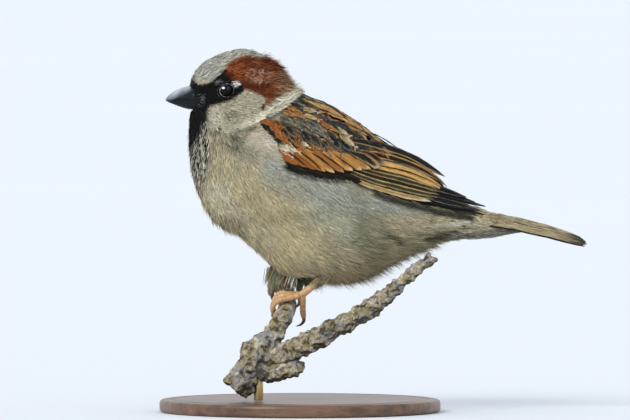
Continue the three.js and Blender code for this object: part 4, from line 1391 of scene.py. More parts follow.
# the display stand: a turned disc and a plain rod
standCare = {"radius": 45, "height": 4, "rim": 1.2}
nothingPicked()
bpy.ops.mesh.primitive_cylinder_add(vertices=160, radius=standCare["radius"] * mm,
    depth=standCare["height"] * mm,
    location=(0, 0, standCare["height"] / 2 * mm))
stand = bpy.context.object
stand.name = "standBase"
placeApplied(stand)
bpy.ops.object.mode_set(mode="EDIT")
bpy.ops.mesh.select_all(action="DESELECT")
bpy.ops.object.mode_set(mode="OBJECT")
for face in stand.data.polygons:
    face.select = face.normal.z > 0.9
bpy.ops.object.mode_set(mode="EDIT")
for inwards, rise in ((3.2, 0), (0.3, -0.25), (0.5, 0), (0.3, 0.25), (6, 0)):
    bpy.ops.mesh.inset(thickness=inwards * mm, depth=rise * mm)
bpy.ops.object.mode_set(mode="OBJECT")
applyOn(stand, "BEVEL", width=standCare["rim"] * mm, segments=5, limit_method="ANGLE",
    angle_limit=math.radians(60))
woodFinish, shader = newMaterial("walnutStand", Roughness=0.42, Coat_Weight=0.25, Coat_Roughness=0.25)
where = objectPlace()
stretch = mappedBy(where, Scale=(14.0, 240.0, 240.0))
grain = noiseNode(stretch, 1.0, 6.0, 0.6)
stretchPores = mappedBy(where, Scale=(120.0, 2600.0, 2600.0))
pores = noiseNode(stretchPores, 1.0, 2.0, 0.5)
colour = mixTone(rangeNode(grain, 0.3, 0.7), (0.055, 0.026, 0.014), (0.2, 0.1, 0.05))
colour = mixTone(rangeNode(pores, 0.56, 0.66, 0.0, 0.5), colour, (0.03, 0.015, 0.01))
paint(shader, colour)
bumpOn(shader, pores, 0.12, 0.0001)
smoothShaded(stand, 40)
finishPiece(stand, woodFinish, ["stand_base"])

low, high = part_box("stand_rod")
nothingPicked()
bpy.ops.mesh.primitive_cylinder_add(vertices=48, radius=1.5 * mm, depth=high.z - low.z,
    location=((low.x + high.x) / 2, (low.y + high.y) / 2, (low.z + high.z) / 2))
rod = bpy.context.object
rod.name = "standRod"
placeApplied(rod)
applyOn(rod, "BEVEL", width=0.25 * mm, segments=3, limit_method="ANGLE", angle_limit=math.radians(60))
brassFinish, shader = newMaterial("brushedBrass", Roughness=0.32, Metallic=1.0)
where = objectPlace()
turnedLines = mappedBy(where, Scale=(300.0, 300.0, 6000.0))
brush = noiseNode(turnedLines, 1.0, 3.0)
wire(mixTone(brush, (0.5, 0.36, 0.14), (0.72, 0.56, 0.27)), shader.inputs["Base Color"])
bumpOn(shader, brush, 0.1, 0.00005)
smoothShaded(rod, 40)
finishPiece(rod, brassFinish, ["stand_rod"])
print("stand done")


# vanes: feathers laid one by one over the guide, each a small curved leaf of mesh with fine barbs over it
vaneKinds = {
    # centre, edge and tip tones, then how wide the lower edge, the upper edge and the tip are
    "rust": [(0.3, 0.098, 0.026), (0.4, 0.155, 0.045), (0.42, 0.18, 0.06), (0.3, 0.3, 0.12)],
    "rustDeep": [(0.07, 0.026, 0.014), (0.3, 0.095, 0.026), (0.34, 0.13, 0.04), (0.4, 0.35, 0.2)],
    "scallop": [(0.02, 0.019, 0.018), (0.2, 0.16, 0.105), (0.3, 0.235, 0.15), (0.34, 0.3, 0.16)],
    "scallopRust": [(0.026, 0.014, 0.012), (0.27, 0.125, 0.05), (0.34, 0.23, 0.13), (0.36, 0.34, 0.16)],
    "greyGreen": [(0.075, 0.074, 0.058), (0.24, 0.205, 0.14), (0.3, 0.26, 0.18), (0.34, 0.34, 0.2)],
    "blackGrey": [(0.014, 0.016, 0.016), (0.145, 0.14, 0.105), (0.2, 0.18, 0.13), (0.24, 0.22, 0.12)],
    "slate": [(0.028, 0.033, 0.034), (0.105, 0.1, 0.075), (0.17, 0.15, 0.1), (0.2, 0.22, 0.1)],
    "slateBlue": [(0.05, 0.056, 0.066), (0.15, 0.145, 0.13), (0.2, 0.18, 0.14), (0.24, 0.24, 0.12)],
    "slateOrange": [(0.034, 0.033, 0.03), (0.4, 0.225, 0.085), (0.42, 0.27, 0.12), (0.42, 0.4, 0.16)],
    "orange": [(0.37, 0.165, 0.05), (0.47, 0.26, 0.1), (0.46, 0.29, 0.13), (0.3, 0.35, 0.2)],
    "orangeStripe": [(0.47, 0.255, 0.09), (0.6, 0.4, 0.19), (0.42, 0.25, 0.1), (0.25, 0.3, 0.1)],
    "paleBuff": [(0.42, 0.29, 0.125), (0.56, 0.45, 0.25), (0.58, 0.48, 0.29), (0.5, 0.5, 0.4)],
    "cream": [(0.5, 0.4, 0.22), (0.62, 0.55, 0.38), (0.66, 0.61, 0.46), (0.5, 0.5, 0.5)],
    # thin dark lines of painted shade, laid where feathers overlap
    "shadeLine": [(0.014, 0.012, 0.01), (0.03, 0.024, 0.016), (0.04, 0.03, 0.02), (0.2, 0.2, 0.1)],
    "topDark": [(0.026, 0.026, 0.022), (0.115, 0.1, 0.072), (0.17, 0.145, 0.1), (0.2, 0.24, 0.12)],
    "napeGrey": [(0.12, 0.115, 0.085), (0.27, 0.25, 0.18), (0.3, 0.28, 0.2), (0.3, 0.3, 0.25)],
    "underShade": [(0.014, 0.019, 0.016), (0.03, 0.036, 0.028), (0.03, 0.03, 0.025), (0.2, 0.2, 0.1)],
    "greaterDeep": [(0.31, 0.1, 0.022), (0.37, 0.135, 0.032), (0.36, 0.15, 0.045), (0.16, 0.2, 0.05)],
    "greater": [(0.38, 0.145, 0.032), (0.42, 0.175, 0.046), (0.62, 0.46, 0.24), (0.22, 0.26, 0.08)],
    "greaterTan": [(0.47, 0.22, 0.058), (0.47, 0.255, 0.09), (0.66, 0.53, 0.31), (0.24, 0.28, 0.11)],
    "alula": [(0.012, 0.01, 0.008), (0.036, 0.022, 0.014), (0.03, 0.02, 0.015), (0.1, 0.2, 0.05)],
    "oval": [(0.02, 0.023, 0.018), (0.46, 0.31, 0.135), (0.6, 0.49, 0.29), (0.22, 0.22, 0.12)],
    "maroon": [(0.06, 0.018, 0.014), (0.4, 0.22, 0.085), (0.56, 0.45, 0.27), (0.34, 0.32, 0.16)],
    "tertialTop": [(0.018, 0.019, 0.021), (0.37, 0.235, 0.1), (0.12, 0.1, 0.075), (0.36, 0.06, 0.04)],
    "tertialMid": [(0.018, 0.015, 0.012), (0.42, 0.25, 0.095), (0.2, 0.15, 0.09), (0.3, 0.42, 0.03)],
    "tertialBig": [(0.66, 0.37, 0.12), (0.47, 0.31, 0.14), (0.3, 0.22, 0.12), (0.1, 0.35, 0.03)],
    "tertialLow": [(0.045, 0.034, 0.018), (0.43, 0.27, 0.11), (0.2, 0.15, 0.09), (0.34, 0.1, 0.03)],
    "secondary": [(0.022, 0.018, 0.01), (0.47, 0.36, 0.17), (0.2, 0.17, 0.09), (0.34, 0.05, 0.03)],
    "secondaryOlive": [(0.055, 0.045, 0.022), (0.33, 0.26, 0.12), (0.2, 0.17, 0.09), (0.34, 0.1, 0.03)],
    "secondaryBuff": [(0.42, 0.25, 0.09), (0.6, 0.49, 0.28), (0.68, 0.61, 0.44), (0.35, 0.25, 0.1)],
    "primary": [(0.006, 0.006, 0.006), (0.03, 0.029, 0.031), (0.09, 0.088, 0.09), (0.16, 0.05, 0.05)],
    "primaryPale": [(0.014, 0.014, 0.014), (0.17, 0.165, 0.155), (0.1, 0.097, 0.098),
        (0.1, 0.12, 0.05)],
    "rump": [(0.36, 0.29, 0.165), (0.42, 0.345, 0.21), (0.44, 0.365, 0.24), (0.3, 0.3, 0.2)],
    "underTail": [(0.2, 0.2, 0.17), (0.33, 0.33, 0.28), (0.24, 0.23, 0.21), (0.34, 0.4, 0.12)],
    "underWhite": [(0.45, 0.45, 0.43), (0.62, 0.62, 0.6), (0.12, 0.12, 0.11), (0.4, 0.5, 0.3)],
    "ventCream": [(0.4, 0.35, 0.22), (0.48, 0.43, 0.29), (0.42, 0.38, 0.25), (0.3, 0.3, 0.2)],
    "tail": [(0.405, 0.355, 0.225), (0.5, 0.44, 0.3), (0.075, 0.082, 0.068), (0.16, 0.26, 0.09)],
    "tailDark": [(0.13, 0.105, 0.06), (0.44, 0.37, 0.24), (0.06, 0.066, 0.054), (0.42, 0.4, 0.09)],
    "tailEdge": [(0.4, 0.33, 0.2), (0.014, 0.014, 0.012), (0.045, 0.048, 0.04), (0.34, 0.02, 0.09)],
}
vaneFinish = vaneMaterial("closeVanes")
flightFinish = vaneMaterial("flightVanes", roughness=0.55, sheen=0.01)
barbFinish = featherMaterial("fineBarbs", sheen=0.02, roughness=0.66)


def guideDrape(points):
    places, ups, _ = nearest(points)
    return places, ups


def newBank():
    return {"points": [], "quads": [], "vane": [], "centre": [], "edge": [], "tip": [], "shares": [],
        "reach": [],
        "cell": [], "count": 0, "vanes": 0, "barbs": []}


def patternTone(kind, shade, tau, v):
    # the same centre, edge and tip pattern as the vanes' material, for the barbs that lie on them
    centre, edge, tip, (lower, upper, end) = vaneKinds[kind]
    narrow = 0.35 * limited((tau - 0.45) / 0.55) ** 1.5
    lower, upper = lower + narrow * (lower > 0.15), upper + narrow * (upper > 0.15)
    edgeMask = np.maximum(limited((-v - (1 - lower)) / 0.12 + 0.5),
        limited((v - (1 - upper)) / 0.12 + 0.5))
    tipMask = limited((tau - (1 - end)) / 0.08 + 0.5)
    tone = np.array(centre) * (1 - edgeMask)[:, None] + np.array(edge) * edgeMask[:, None]
    tone = tone * (1 - tipMask)[:, None] + np.array(tip) * tipMask[:, None]
    return tone * shade


def layBarbs(bank, grid, ups, halves, reach, kind, shade, cut):
    # fine barbs slanting from the shaft to the edges, over the vane
    along, across = grid.shape[:2]
    width = halves.max()
    count = int(reach * width * 2 * 0.8 * cut["density"] * (1))
    start = chance.uniform(-0.02, 0.96, count)
    fromV = chance.choice((-1.0, 1.0), count) * chance.uniform(0.0, 0.9, count)
    stray = chance.random(count) < cut.get("stray", 0)
    start = np.where(stray, start * 1.12, start)
    fromV = np.where(stray, fromV * 1.7, fromV)
    slope = np.radians(cut["slant"]) * chance.uniform(0.5, 1.4, count) * np.sign(fromV)
    length = cut["length"] * chance.uniform(0.6, 1.3, count)
    jitterV, jitterTau = chance.normal(0, cut["fray"], count), chance.normal(0, 0.04, count)
    points = np.empty((count, 7, 3))
    tones = np.empty((count, 7, 3))
    spine, upAt = [], []
    high = chance.uniform(0, 1, count)
    for k in range(4):
        t = k / 3
        tau = np.minimum(start + length * np.cos(slope) * t / reach,
            np.where(stray, cut.get("over", 1.4), cut.get("over", 1.03)))
        v = np.clip(fromV + length * np.sin(slope) * t ** 1.2 / width, -1.15, 1.15)
        v = np.where(stray, fromV + 0.4 * (v - fromV), v)
        fi, fj = np.maximum(tau, 0) * (along - 1), (v + 1) / 2 * (across - 1)
        i, j = np.clip(fi.astype(int), 0, along - 2), np.clip(fj.astype(int), 0, across - 2)
        a, b = (fi - i)[:, None], (fj - j)[:, None]
        near = grid[i, j] * (1 - a) + grid[i + 1, j] * a
        far = grid[i, j + 1] * (1 - a) + grid[i + 1, j + 1] * a
        spine.append(near * (1 - b) + far * b + ups[i, j] * (0.03 + cut["lift"] * t * high)[:, None])
        upAt.append(ups[i, j])
        tones[:, 2 * k] = patternTone(kind, shade, tau * np.where(stray, 0.75, 1) + jitterTau,
            np.where(stray, v * 0.55, v) + jitterV)
        if k < 3:
            tones[:, 2 * k + 1] = tones[:, 2 * k]
    roll = np.radians(20) * chance.normal(0, 1, count)
    wide = cut["width"] * chance.uniform(0.7, 1.3, count)
    for k in range(3):
        toward = unit(spine[k + 1] - spine[max(k - 1, 0)])
        side = unit(np.cross(upAt[k], toward))
        side = side * np.cos(roll)[:, None] + upAt[k] * np.sin(roll)[:, None]
        half = (wide * (0.35, 0.5, 0.36)[k])[:, None]
        points[:, 2 * k] = spine[k] + side * half
        points[:, 2 * k + 1] = spine[k] - side * half
    points[:, 6] = spine[3]
    each = chance.uniform(0.74, 1.26, count) * np.where(chance.random(count) < cut["dark"], 0.4, 1.0)
    bank["barbs"].append((points, tones * each[:, None, None]))


def sewBarbs(name, bank):
    points = np.concatenate([laid[0] for laid in bank["barbs"]])
    tone = np.concatenate([laid[1] for laid in bank["barbs"]])
    _, _, faces = nearest(points[:, 0])
    sewStrips(name, points, tone, guideUnwrap[guideFaces[faces, 0]], barbFinish)


def outlineOf(tau, shape):
    grow = limited(0.42 + tau / 0.32 * 0.58)
    if shape == "round":
        late = limited((tau - 0.62) / 0.38)
        return grow * np.sqrt(np.clip(1 - late ** 2.4, 0.0, 1))
    if shape == "long":
        late = limited((tau - 0.72) / 0.28)
        return grow * np.clip(1 - late ** 1.7, 0.0, 1) ** 0.7 * (1 - 0.2 * tau)
    if shape == "tail":
        late = limited((tau - 0.86) / 0.14)
        return grow * np.sqrt(np.clip(1 - late ** 2, 0.0, 1))
    late = limited((tau - 0.45) / 0.55)  # pointed
    return grow * np.clip(1 - late ** 1.5, 0.0, 1)


# barbs over the vanes: per mm2, length, width, degrees from the shaft, stand-out, fraying of the pattern,
# share of dark ones
barbCuts = {
    "small": dict(over=1.18, density=21, length=1.8, width=0.15, slant=13, lift=0.24, fray=0.28,
        dark=0.16, stray=0.42),
    "soft": dict(density=18, length=2.2, width=0.17, slant=12, lift=0.22, fray=0.2, dark=0.1, stray=0.4),
    "mantle": dict(density=6, over=1.15, length=2.6, width=0.22, slant=11, lift=0.2, fray=0.18, dark=0.1,
        stray=0.35),
    "wing": dict(density=13, length=3.2, width=0.15, slant=7, lift=0.08, fray=0.12, dark=0.1, stray=0.2,
        over=0.99),
    "flight": dict(over=1.0, density=8, length=3.6, width=0.14, slant=5, lift=0.03, fray=0.05, dark=0.06),
}


def addVane(bank, spine, width, kind, level=0.0, lift=0.5, tilt=0.0, camber=0.15, shape="round", along=7,
        across=5,
        mirrored=False, drape=guideDrape, fray=0.05, barbs="small"):
    spine = np.asarray(spine, float)
    tau = np.linspace(0, 1, along)
    places, ups = drape(alongRows(spine, tau * (len(spine) - 1)))
    toward = unit(np.gradient(places, axis=0))
    side = unit(np.cross(ups, toward)) * (-1 if mirrored else 1)
    half = np.maximum(outlineOf(tau, shape) * width / 2, 0.03)
    v = np.linspace(-1, 1, across)
    ragged = 1 + fray * chance.normal(0, 1, (along, across)) * (np.abs(v) > 0.9)
    grid = places[:, None] + side[:, None] * (half[:, None] * v[None] * ragged)[..., None]
    grid += toward[:, None] * (fray * width * 0.5 * chance.normal(0, 1, (along, across))
        * (np.abs(v) > 0.4)[None]
        * (tau > 0.5)[:, None])[..., None]
    flat, flatUps = drape(grid.reshape(-1, 3))
    height = level + lift * tau[:, None] ** 1.3 - tilt * v[None] * np.minimum(1, half / 1.5)[:, None]
    height = height + camber * (1 - v[None] ** 2)
    grid = flat + flatUps * height.reshape(-1, 1)
    ij = np.arange(along * across).reshape(along, across)
    quads = np.stack([ij[:-1, :-1], ij[1:, :-1], ij[1:, 1:], ij[:-1, 1:]], -1).reshape(-1, 4)
    if mirrored:
        quads = quads[:, ::-1]
    n = along * across
    centre, edge, tip, shares = vaneKinds[kind]
    shade = chance.uniform(0.86, 1.14) * (1 + np.array((1, 0, -1)) * chance.normal(0, 0.04))
    reach = np.linalg.norm(np.diff(places, axis=0), axis=1).sum()
    layBarbs(bank, grid.reshape(along, across, 3), flatUps.reshape(along, across, 3), half, reach, kind,
        shade,
        barbCuts[barbs])
    bank["points"].append(grid)
    bank["quads"].append(quads + bank["count"])
    bank["vane"].append(np.stack(np.meshgrid(tau, (v + 1) / 2, indexing="ij")[::-1], -1).reshape(-1, 2))
    for key, tone in (("centre", centre), ("edge", edge), ("tip", tip)):
        bank[key].append(np.tile(np.array(tone) * shade * 0.72, (n, 1)))
    bank["shares"].append(np.tile(np.array(shares) * chance.uniform(0.8, 1.2), (n, 1)))
    bank["reach"].append(np.full(n, reach))
    bank["cell"].append(np.full(n, bank["vanes"]))
    bank["count"] += n
    bank["vanes"] += 1


def sewBank(name, bank, material, replaced=(), thick=0.0):
    points, quads = np.vstack(bank["points"]), np.vstack(bank["quads"])
    piece, loops = meshFromArrays(name, points, quads, np.empty((0, 3), int))
    for key in ("centre", "edge", "tip"):
        addTone(piece, key + "Tone", np.vstack(bank[key]))
    layer = piece.data.attributes.new("shares", "FLOAT_VECTOR", "POINT")
    layer.data.foreach_set("vector", np.vstack(bank["shares"]).astype(np.float32).ravel())
    layer = piece.data.attributes.new("reach", "FLOAT", "POINT")
    layer.data.foreach_set("value", np.concatenate(bank["reach"]).astype(np.float32))
    vane = np.vstack(bank["vane"])
    addUv(piece, "vane", vane[loops])
    # every vane has its own place on the baked sheet
    columns = math.ceil(math.sqrt(bank["vanes"] / 3))
    lines = math.ceil(bank["vanes"] / columns)
    cell = np.concatenate(bank["cell"])
    sheet = np.stack([(cell % columns + 0.06 + 0.88 * vane[:, 1]) / columns,
            (cell // columns + 0.1 + 0.8 * vane[:, 0]) / lines], -1)
    addUv(piece, "OFBake", sheet[loops])
    finishPiece(piece, material, replaced)
    if thick:
        applyOn(piece, "SOLIDIFY", thickness=thick * mm, offset=-1.0)
    print(name, bank["vanes"], "vanes,", len(piece.data.polygons) * 2, "triangles")
    return piece


def gridSpine(spots, leftSide):
    return np.array([fromSide(gx, gy, leftSide)[0] for gx, gy in spots])


def freeSpine(spots, leftSide):
    # like gridSpine, but a spot past the outline stands free of the body
    spine = gridSpine(spots, leftSide)
    for place, (gx, gy) in zip(spine, spots):
        place[0], place[2] = fromGrid(gx, gy)
        place[1] = min(place[1], -1.1) if leftSide else max(place[1], 1.1)
    return spine


def wingDrape(points):
    # held out of the body, but not drawn in to it, and turned a little to the side
    places, ups, _ = nearest(points)
    out = dot(points - places, ups)
    places = np.where(out > 0, points, places)
    ups = unit(ups + np.stack([0 * ups[:, 0], np.sign(points[:, 1]) * 0.7, 0 * ups[:, 0]], -1))
    return places, ups


# big feathers of the folded wing on the side view grid: spine, width in mm, kind, level, tilt, outline
wingFeathers = {
    "Primaries": [
        ([(356, 182), (395, 193.5), (440, 204.5), (487, 215)], 2.2, "primary", -1.0, 0.12, "long"),
        ([(360, 180), (398, 191.5), (442, 202), (484, 211.8)], 2.1, "primary", -0.9, 0.12, "long"),
        ([(364, 178), (400, 189), (440, 199), (476, 209.2)], 2.1, "primaryPale", -0.8, 0.12, "long"),
        ([(368, 176), (404, 186.5), (444, 195.8), (485, 206.6)], 2.0, "primaryPale", -0.65, 0.12, "long"),
        ([(372, 174), (406, 183.5), (440, 192), (475, 202.6)], 2.0, "primary", -0.55, 0.12, "long"),
        ([(376, 172), (408, 180.5), (438, 188), (466, 197.8)], 2.0, "primaryPale", -0.45, 0.12, "long"),
    ],
    "Secondaries": [
        ([(348, 175.8), (371, 184.2), (401, 193.4), (431, 200.8)], 2.0, "secondaryBuff", -0.55, 0.12,
        "long"),
        ([(350, 173), (373, 181.6), (403, 190.6), (434, 198.6)], 1.9, "secondary", -0.45, 0.12, "long"),
        ([(351, 171.5), (375, 179.8), (406, 188.4), (437, 196.8)], 1.9, "secondaryOlive", -0.35, 0.12,
        "long"),
        ([(353, 169), (377, 176.6), (408, 185), (439, 194.2)], 1.9, "secondary", -0.25, 0.12, "long"),
        ([(355, 166.5), (380, 173.2), (411, 181.6), (441, 191.8)], 1.9, "secondaryOlive", -0.15, 0.12,
        "long"), ([(356, 164), (382, 170), (413, 178), (443, 190)], 1.9, "tertialLow", -0.05, 0.14, "long"),
        ([(354, 160), (384, 165.2), (412, 173.4), (444, 190)], 3.9, "tertialBig", 0.0, 0.16, "long"),
        ([(354, 150), (384, 156.2), (414, 166), (446, 187)], 2.7, "tertialMid", 0.12, 0.16, "long"),
        ([(352, 140), (382, 147.2), (412, 158.5), (443.5, 176.8)], 3.4, "tertialTop", 0.22, 0.16, "long"),
        # thin lines of painted shade along the lower edges of the tertials
        ([(380, 166), (402, 170.5), (424, 178.5), (440, 188)], 0.34, "shadeLine", 0.75, 0, "pointed"),
        ([(392, 161.5), (410, 166), (428, 174.5), (441, 185)], 0.3, "shadeLine", 0.8, 0, "pointed"),
    ],
    "Coverts": [
        ([(282, 155), (292, 166), (308, 173)], 2.9, "alula", -0.42, 0.1, "long"),
        ([(287, 160.5), (306, 171.5), (328, 176.5)], 2.9, "alula", -0.42, 0.1, "long"),
        ([(302, 167), (325, 175), (347, 178)], 2.6, "alula", -0.4, 0.1, "long"),
        ([(322, 169.5), (341, 176), (361, 180.3)], 2.6, "alula", -0.4, 0.1, "round"),
        ([(274, 149.5), (282, 154.5), (289.5, 160.3)], 2.0, "greaterDeep", -0.36, 0.14, "long"),
        ([(277, 148.5), (287.5, 155.5), (298, 163.3)], 2.1, "greaterDeep", -0.3, 0.14, "long"),
        ([(282, 147.8), (294, 156.5), (306.5, 166)], 2.1, "greaterDeep", -0.24, 0.14, "long"),
        ([(289, 147.5), (302, 157.5), (315.5, 168.6)], 2.2, "greaterDeep", -0.18, 0.14, "long"),
        ([(297, 147.5), (311, 158.5), (325, 170.6)], 2.3, "greater", -0.12, 0.14, "long"),
        ([(305, 148), (320, 159.5), (334, 171.8)], 2.3, "greaterTan", -0.06, 0.14, "long"),
        ([(314, 149), (329, 160), (343.5, 171.5)], 2.3, "greater", 0.0, 0.14, "long"),
        ([(323, 150), (338, 160), (352, 170)], 2.3, "greaterTan", 0.06, 0.14, "long"),
        ([(332, 151), (347, 160.5), (361, 169.5)], 2.4, "greaterTan", 0.12, 0.14, "long"),
        ([(340, 152), (355, 161), (369.5, 168.8)], 2.4, "greaterTan", 0.18, 0.14, "long"),
        # thin lines of painted shade between the greater coverts
        ([(300, 151), (311, 159), (321, 169)], 0.34, "shadeLine", 0.3, 0, "pointed"),
        ([(290, 152), (298, 158), (306, 165)], 0.3, "shadeLine", 0.2, 0, "pointed"),
        ([(312, 152), (323, 159.5), (335, 170)], 0.36, "shadeLine", 0.3, 0, "pointed"),
        ([(322, 153), (332, 160), (343, 168.5)], 0.34, "shadeLine", 0.35, 0, "pointed"),
        ([(334, 154), (344, 161.5), (354, 168.5)], 0.34, "shadeLine", 0.45, 0, "pointed"),
    ],
}
# small feathers of shoulder and wing: root and tip on the grid, width in mm, kind, level
smallFeathers = [
    # a lower layer that closes the gaps
    (286, 108, 306, 122, 3.6, "greyGreen", 0.12), (300, 104, 322, 117, 3.6, "slateOrange", 0.2),
    (316, 111, 338, 127, 3.6, "slateOrange", 0.2), (332, 120, 354, 138, 3.6, "slateOrange", 0.2),
    (348, 131, 370, 150, 3.6, "slateOrange", 0.2), (302, 114, 322, 130, 3.6, "greyGreen", 0.14),
    (318, 124, 340, 141, 3.6, "slateOrange", 0.16), (334, 134, 356, 152, 3.6, "slateOrange", 0.18),
    (350, 143, 372, 160, 3.6, "slateOrange", 0.2), (284, 122, 304, 138, 3.4, "greyGreen", 0.1),
    (342, 121, 368, 139, 3.2, "orangeStripe", 0.3), (298, 121, 318, 136, 3.4, "greyGreen", 0.16),
    (294, 116, 314, 130, 3.4, "greyGreen", 0.14),
    (304, 132, 326, 148, 3.4, "greyGreen", 0.12), (326, 142, 348, 157, 3.4, "greyGreen", 0.14),
    # the shade under the bend of the wing, then its rust band
    (257, 124, 270, 132.5, 2.3, "underShade", 0.36), (265, 130, 278, 139, 2.3, "underShade", 0.38),
    (258, 119, 270, 124, 1.7, "rust", 0.48), (264, 120.5, 276, 127.5, 1.8, "rust", 0.5),
    (270, 124, 281, 132.5, 1.8, "rust", 0.5), (275, 128.5, 285, 139, 1.8, "rust", 0.5),
    (279, 134, 288, 146, 1.7, "rust", 0.46), (272, 120, 282, 127, 1.8, "rustDeep", 0.5),
    # cream patch and rust spots under the dark row
    (276, 143, 291, 150.5, 2.2, "cream", 0.34), (283, 143.5, 298, 151.5, 2.3, "cream", 0.36),
    (279, 147, 293, 154, 1.7, "cream", 0.28), (299, 142, 308, 147.5, 1.2, "cream", 0.5),
    (292, 137, 303.5, 147, 1.8, "rust", 0.42), (303, 140, 316, 150, 1.9, "rust", 0.42),
    (313, 143.5, 327, 153, 2.0, "orange", 0.42), (324, 146, 338, 156, 2.1, "orange", 0.44),
    (336, 149, 350, 160, 2.2, "slateOrange", 0.46), (346, 153, 360, 164, 2.2, "orange", 0.46),
    # grey-green feathers behind the band
    (280, 116, 292, 126, 2.1, "greyGreen", 0.44), (288, 116.5, 300, 127, 2.1, "greyGreen", 0.46),
    (297, 117, 309, 128, 2.1, "greyGreen", 0.48), (304, 120, 317, 131.5, 2.1, "greyGreen", 0.5),
    (311, 124, 324, 135.5, 2.1, "greyGreen", 0.5), (318, 129, 331, 140, 2.1, "greyGreen", 0.5),
    # the dark centres
    (278, 126, 291, 139.5, 2.3, "scallopRust", 0.5), (286, 125, 298, 137, 2.1, "scallop", 0.5),
    (292, 129.5, 304.5, 143, 2.3, "scallopRust", 0.52), (301, 129, 314, 142, 2.1, "scallop", 0.54),
    (308, 133.5, 322, 146.5, 2.3, "scallop", 0.54), (317, 137, 331, 149.5, 2.3, "scallop", 0.56),
    (328, 140.5, 342, 152.5, 2.3, "scallop", 0.56), (326, 132.5, 343, 146.5, 2.7, "blackGrey", 0.62),
    (337, 138.5, 353, 151, 2.7, "blackGrey", 0.62), (344, 146, 358, 157, 2.3, "slate", 0.6),
    # rust and buff stripe over them
    (311, 116, 326, 127, 1.8, "rust", 0.66), (320, 122, 336, 133, 1.8, "orange", 0.66),
    (331, 127, 346, 138, 1.9, "paleBuff", 0.68), (340, 133, 354, 144.5, 1.9, "paleBuff", 0.68),
    # orange and buff at the shoulder
    (282, 110, 294, 117, 1.9, "orange", 0.56), (287, 105, 300, 112.5, 2.3, "orange", 0.62),
    (292, 111, 306, 117.5, 2.0, "orange", 0.62), (300, 109, 315, 114.5, 1.8, "paleBuff", 0.66),
    (303, 114.5, 317, 120, 1.6, "paleBuff", 0.66), (290, 101, 304, 107.5, 1.7, "topDark", 0.66),
    (300, 100, 313, 107, 1.8, "topDark", 0.68),
    # slate stripe
    (310, 110.5, 324, 119.5, 2.1, "slateBlue", 0.74), (323, 115.5, 342, 128, 2.5, "slate", 0.76),
    (335, 122.5, 351, 134, 2.5, "slate", 0.76), (345, 130, 365, 143.5, 2.6, "slate", 0.76),
    (357, 139, 378, 153, 2.4, "slate", 0.76),
    # scapulars at the back
    (364, 145, 384, 156, 2.0, "slateOrange", 0.74), (350.5, 151.5, 378.5, 168.5, 3.1, "oval", 1.5),
    (364, 150.5, 386, 162.5, 2.2, "maroon", 1.1),
    # orange stripe of the mantle with its thin black line
    (303, 98.5, 326, 109.5, 2.7, "orangeStripe", 0.92),
    (315, 103.5, 340, 118.5, 2.9, "orangeStripe", 0.94),
    (330, 112, 354, 129, 2.9, "orangeStripe", 0.94), (343, 121.5, 367, 139, 2.8, "orangeStripe", 0.94),
    (356, 131, 380, 146, 2.2, "orangeStripe", 0.9), (370, 139, 392, 150.5, 1.7, "orangeStripe", 0.86),
    (318, 103, 341, 115, 1.6, "orangeStripe", 1.0), (332, 109, 356, 124.5, 1.6, "orangeStripe", 1.0),
    # the dark line along the top of the back
    (300, 94.5, 319, 100, 0.9, "topDark", 0.96), (312, 97.5, 333, 107.5, 0.7, "topDark", 0.96),
    (326, 103.5, 348, 117.5, 0.7, "topDark", 0.96), (341, 113, 362, 127, 0.7, "topDark", 0.96),
    (355, 125.5, 378, 141, 1.3, "topDark", 0.9), (369, 134.5, 391, 147.5, 1.3, "topDark", 0.86),
]


crisp = ("oval", "maroon", "orangeStripe")
streaky = ("scallop", "scallopRust", "greyGreen", "slate", "slateBlue", "rust", "orange", "cream")


def smallVane(bank, rootX, rootY, tipX, tipY, width, kind, level, leftSide):
    shift, swing = chance.normal(0, 0.7, 2), chance.normal(0, 0.09) * math.dist((rootX, rootY),
        (tipX, tipY))
    tipX, tipY = tipX - swing * 0.6, tipY + swing * 0.8
    bow = 0.07 * math.dist((rootX, rootY), (tipX, tipY))
    spots = [(rootX + shift[0], rootY + shift[1]),
        ((rootX + tipX) / 2 + shift[0] - bow * 0.3, (rootY + tipY) / 2 + shift[1] - bow),
        (tipX + shift[0], tipY + shift[1])]
    thin = width < 1
    addVane(bank, gridSpine(spots, leftSide), width * chance.uniform(0.88, 1.15), kind,
        level=level - 0.75 + chance.uniform(-0.05, 0.05), lift=0.34, tilt=0.04, camber=0.1,
        shape="pointed" if thin or kind in streaky else "round", along=8, across=5,
        mirrored=not leftSide,
        fray=0.1, barbs="wing" if kind in crisp else "small")


wingLift = {"Coverts": 0.45, "Secondaries": 0.2, "Primaries": 0.7}
for side in ("left", "right"):
    leftSide = side == "left"
    for group, slotName in (("Primaries", "plumage_primaries"), ("Secondaries", "plumage_flight"),
            ("Coverts", "plumage_coverts")):
        bank = newBank()
        folded = group == "Coverts"
        for spots, width, kind, level, tilt, shape in wingFeathers[group]:
            addVane(bank, gridSpine(spots, leftSide) if folded else freeSpine(spots, leftSide), width,
                kind,
                level=level, lift=wingLift[group], tilt=tilt, camber=0.1, shape=shape,
                along=12 if folded else 16, across=7, mirrored=not leftSide,
                drape=guideDrape if folded else wingDrape, fray=0.03,
                barbs="wing" if folded else "flight")
        if folded:
            for feather in smallFeathers:
                smallVane(bank, *feather, leftSide)
        sewBank("wing" + side.capitalize() + group, bank, flightFinish if group != "Coverts"
            else vaneFinish,
            ["wing_" + side + "_" + group.lower()], thick=0.05)
        sewBarbs("wing" + side.capitalize() + group + "Barbs", bank)


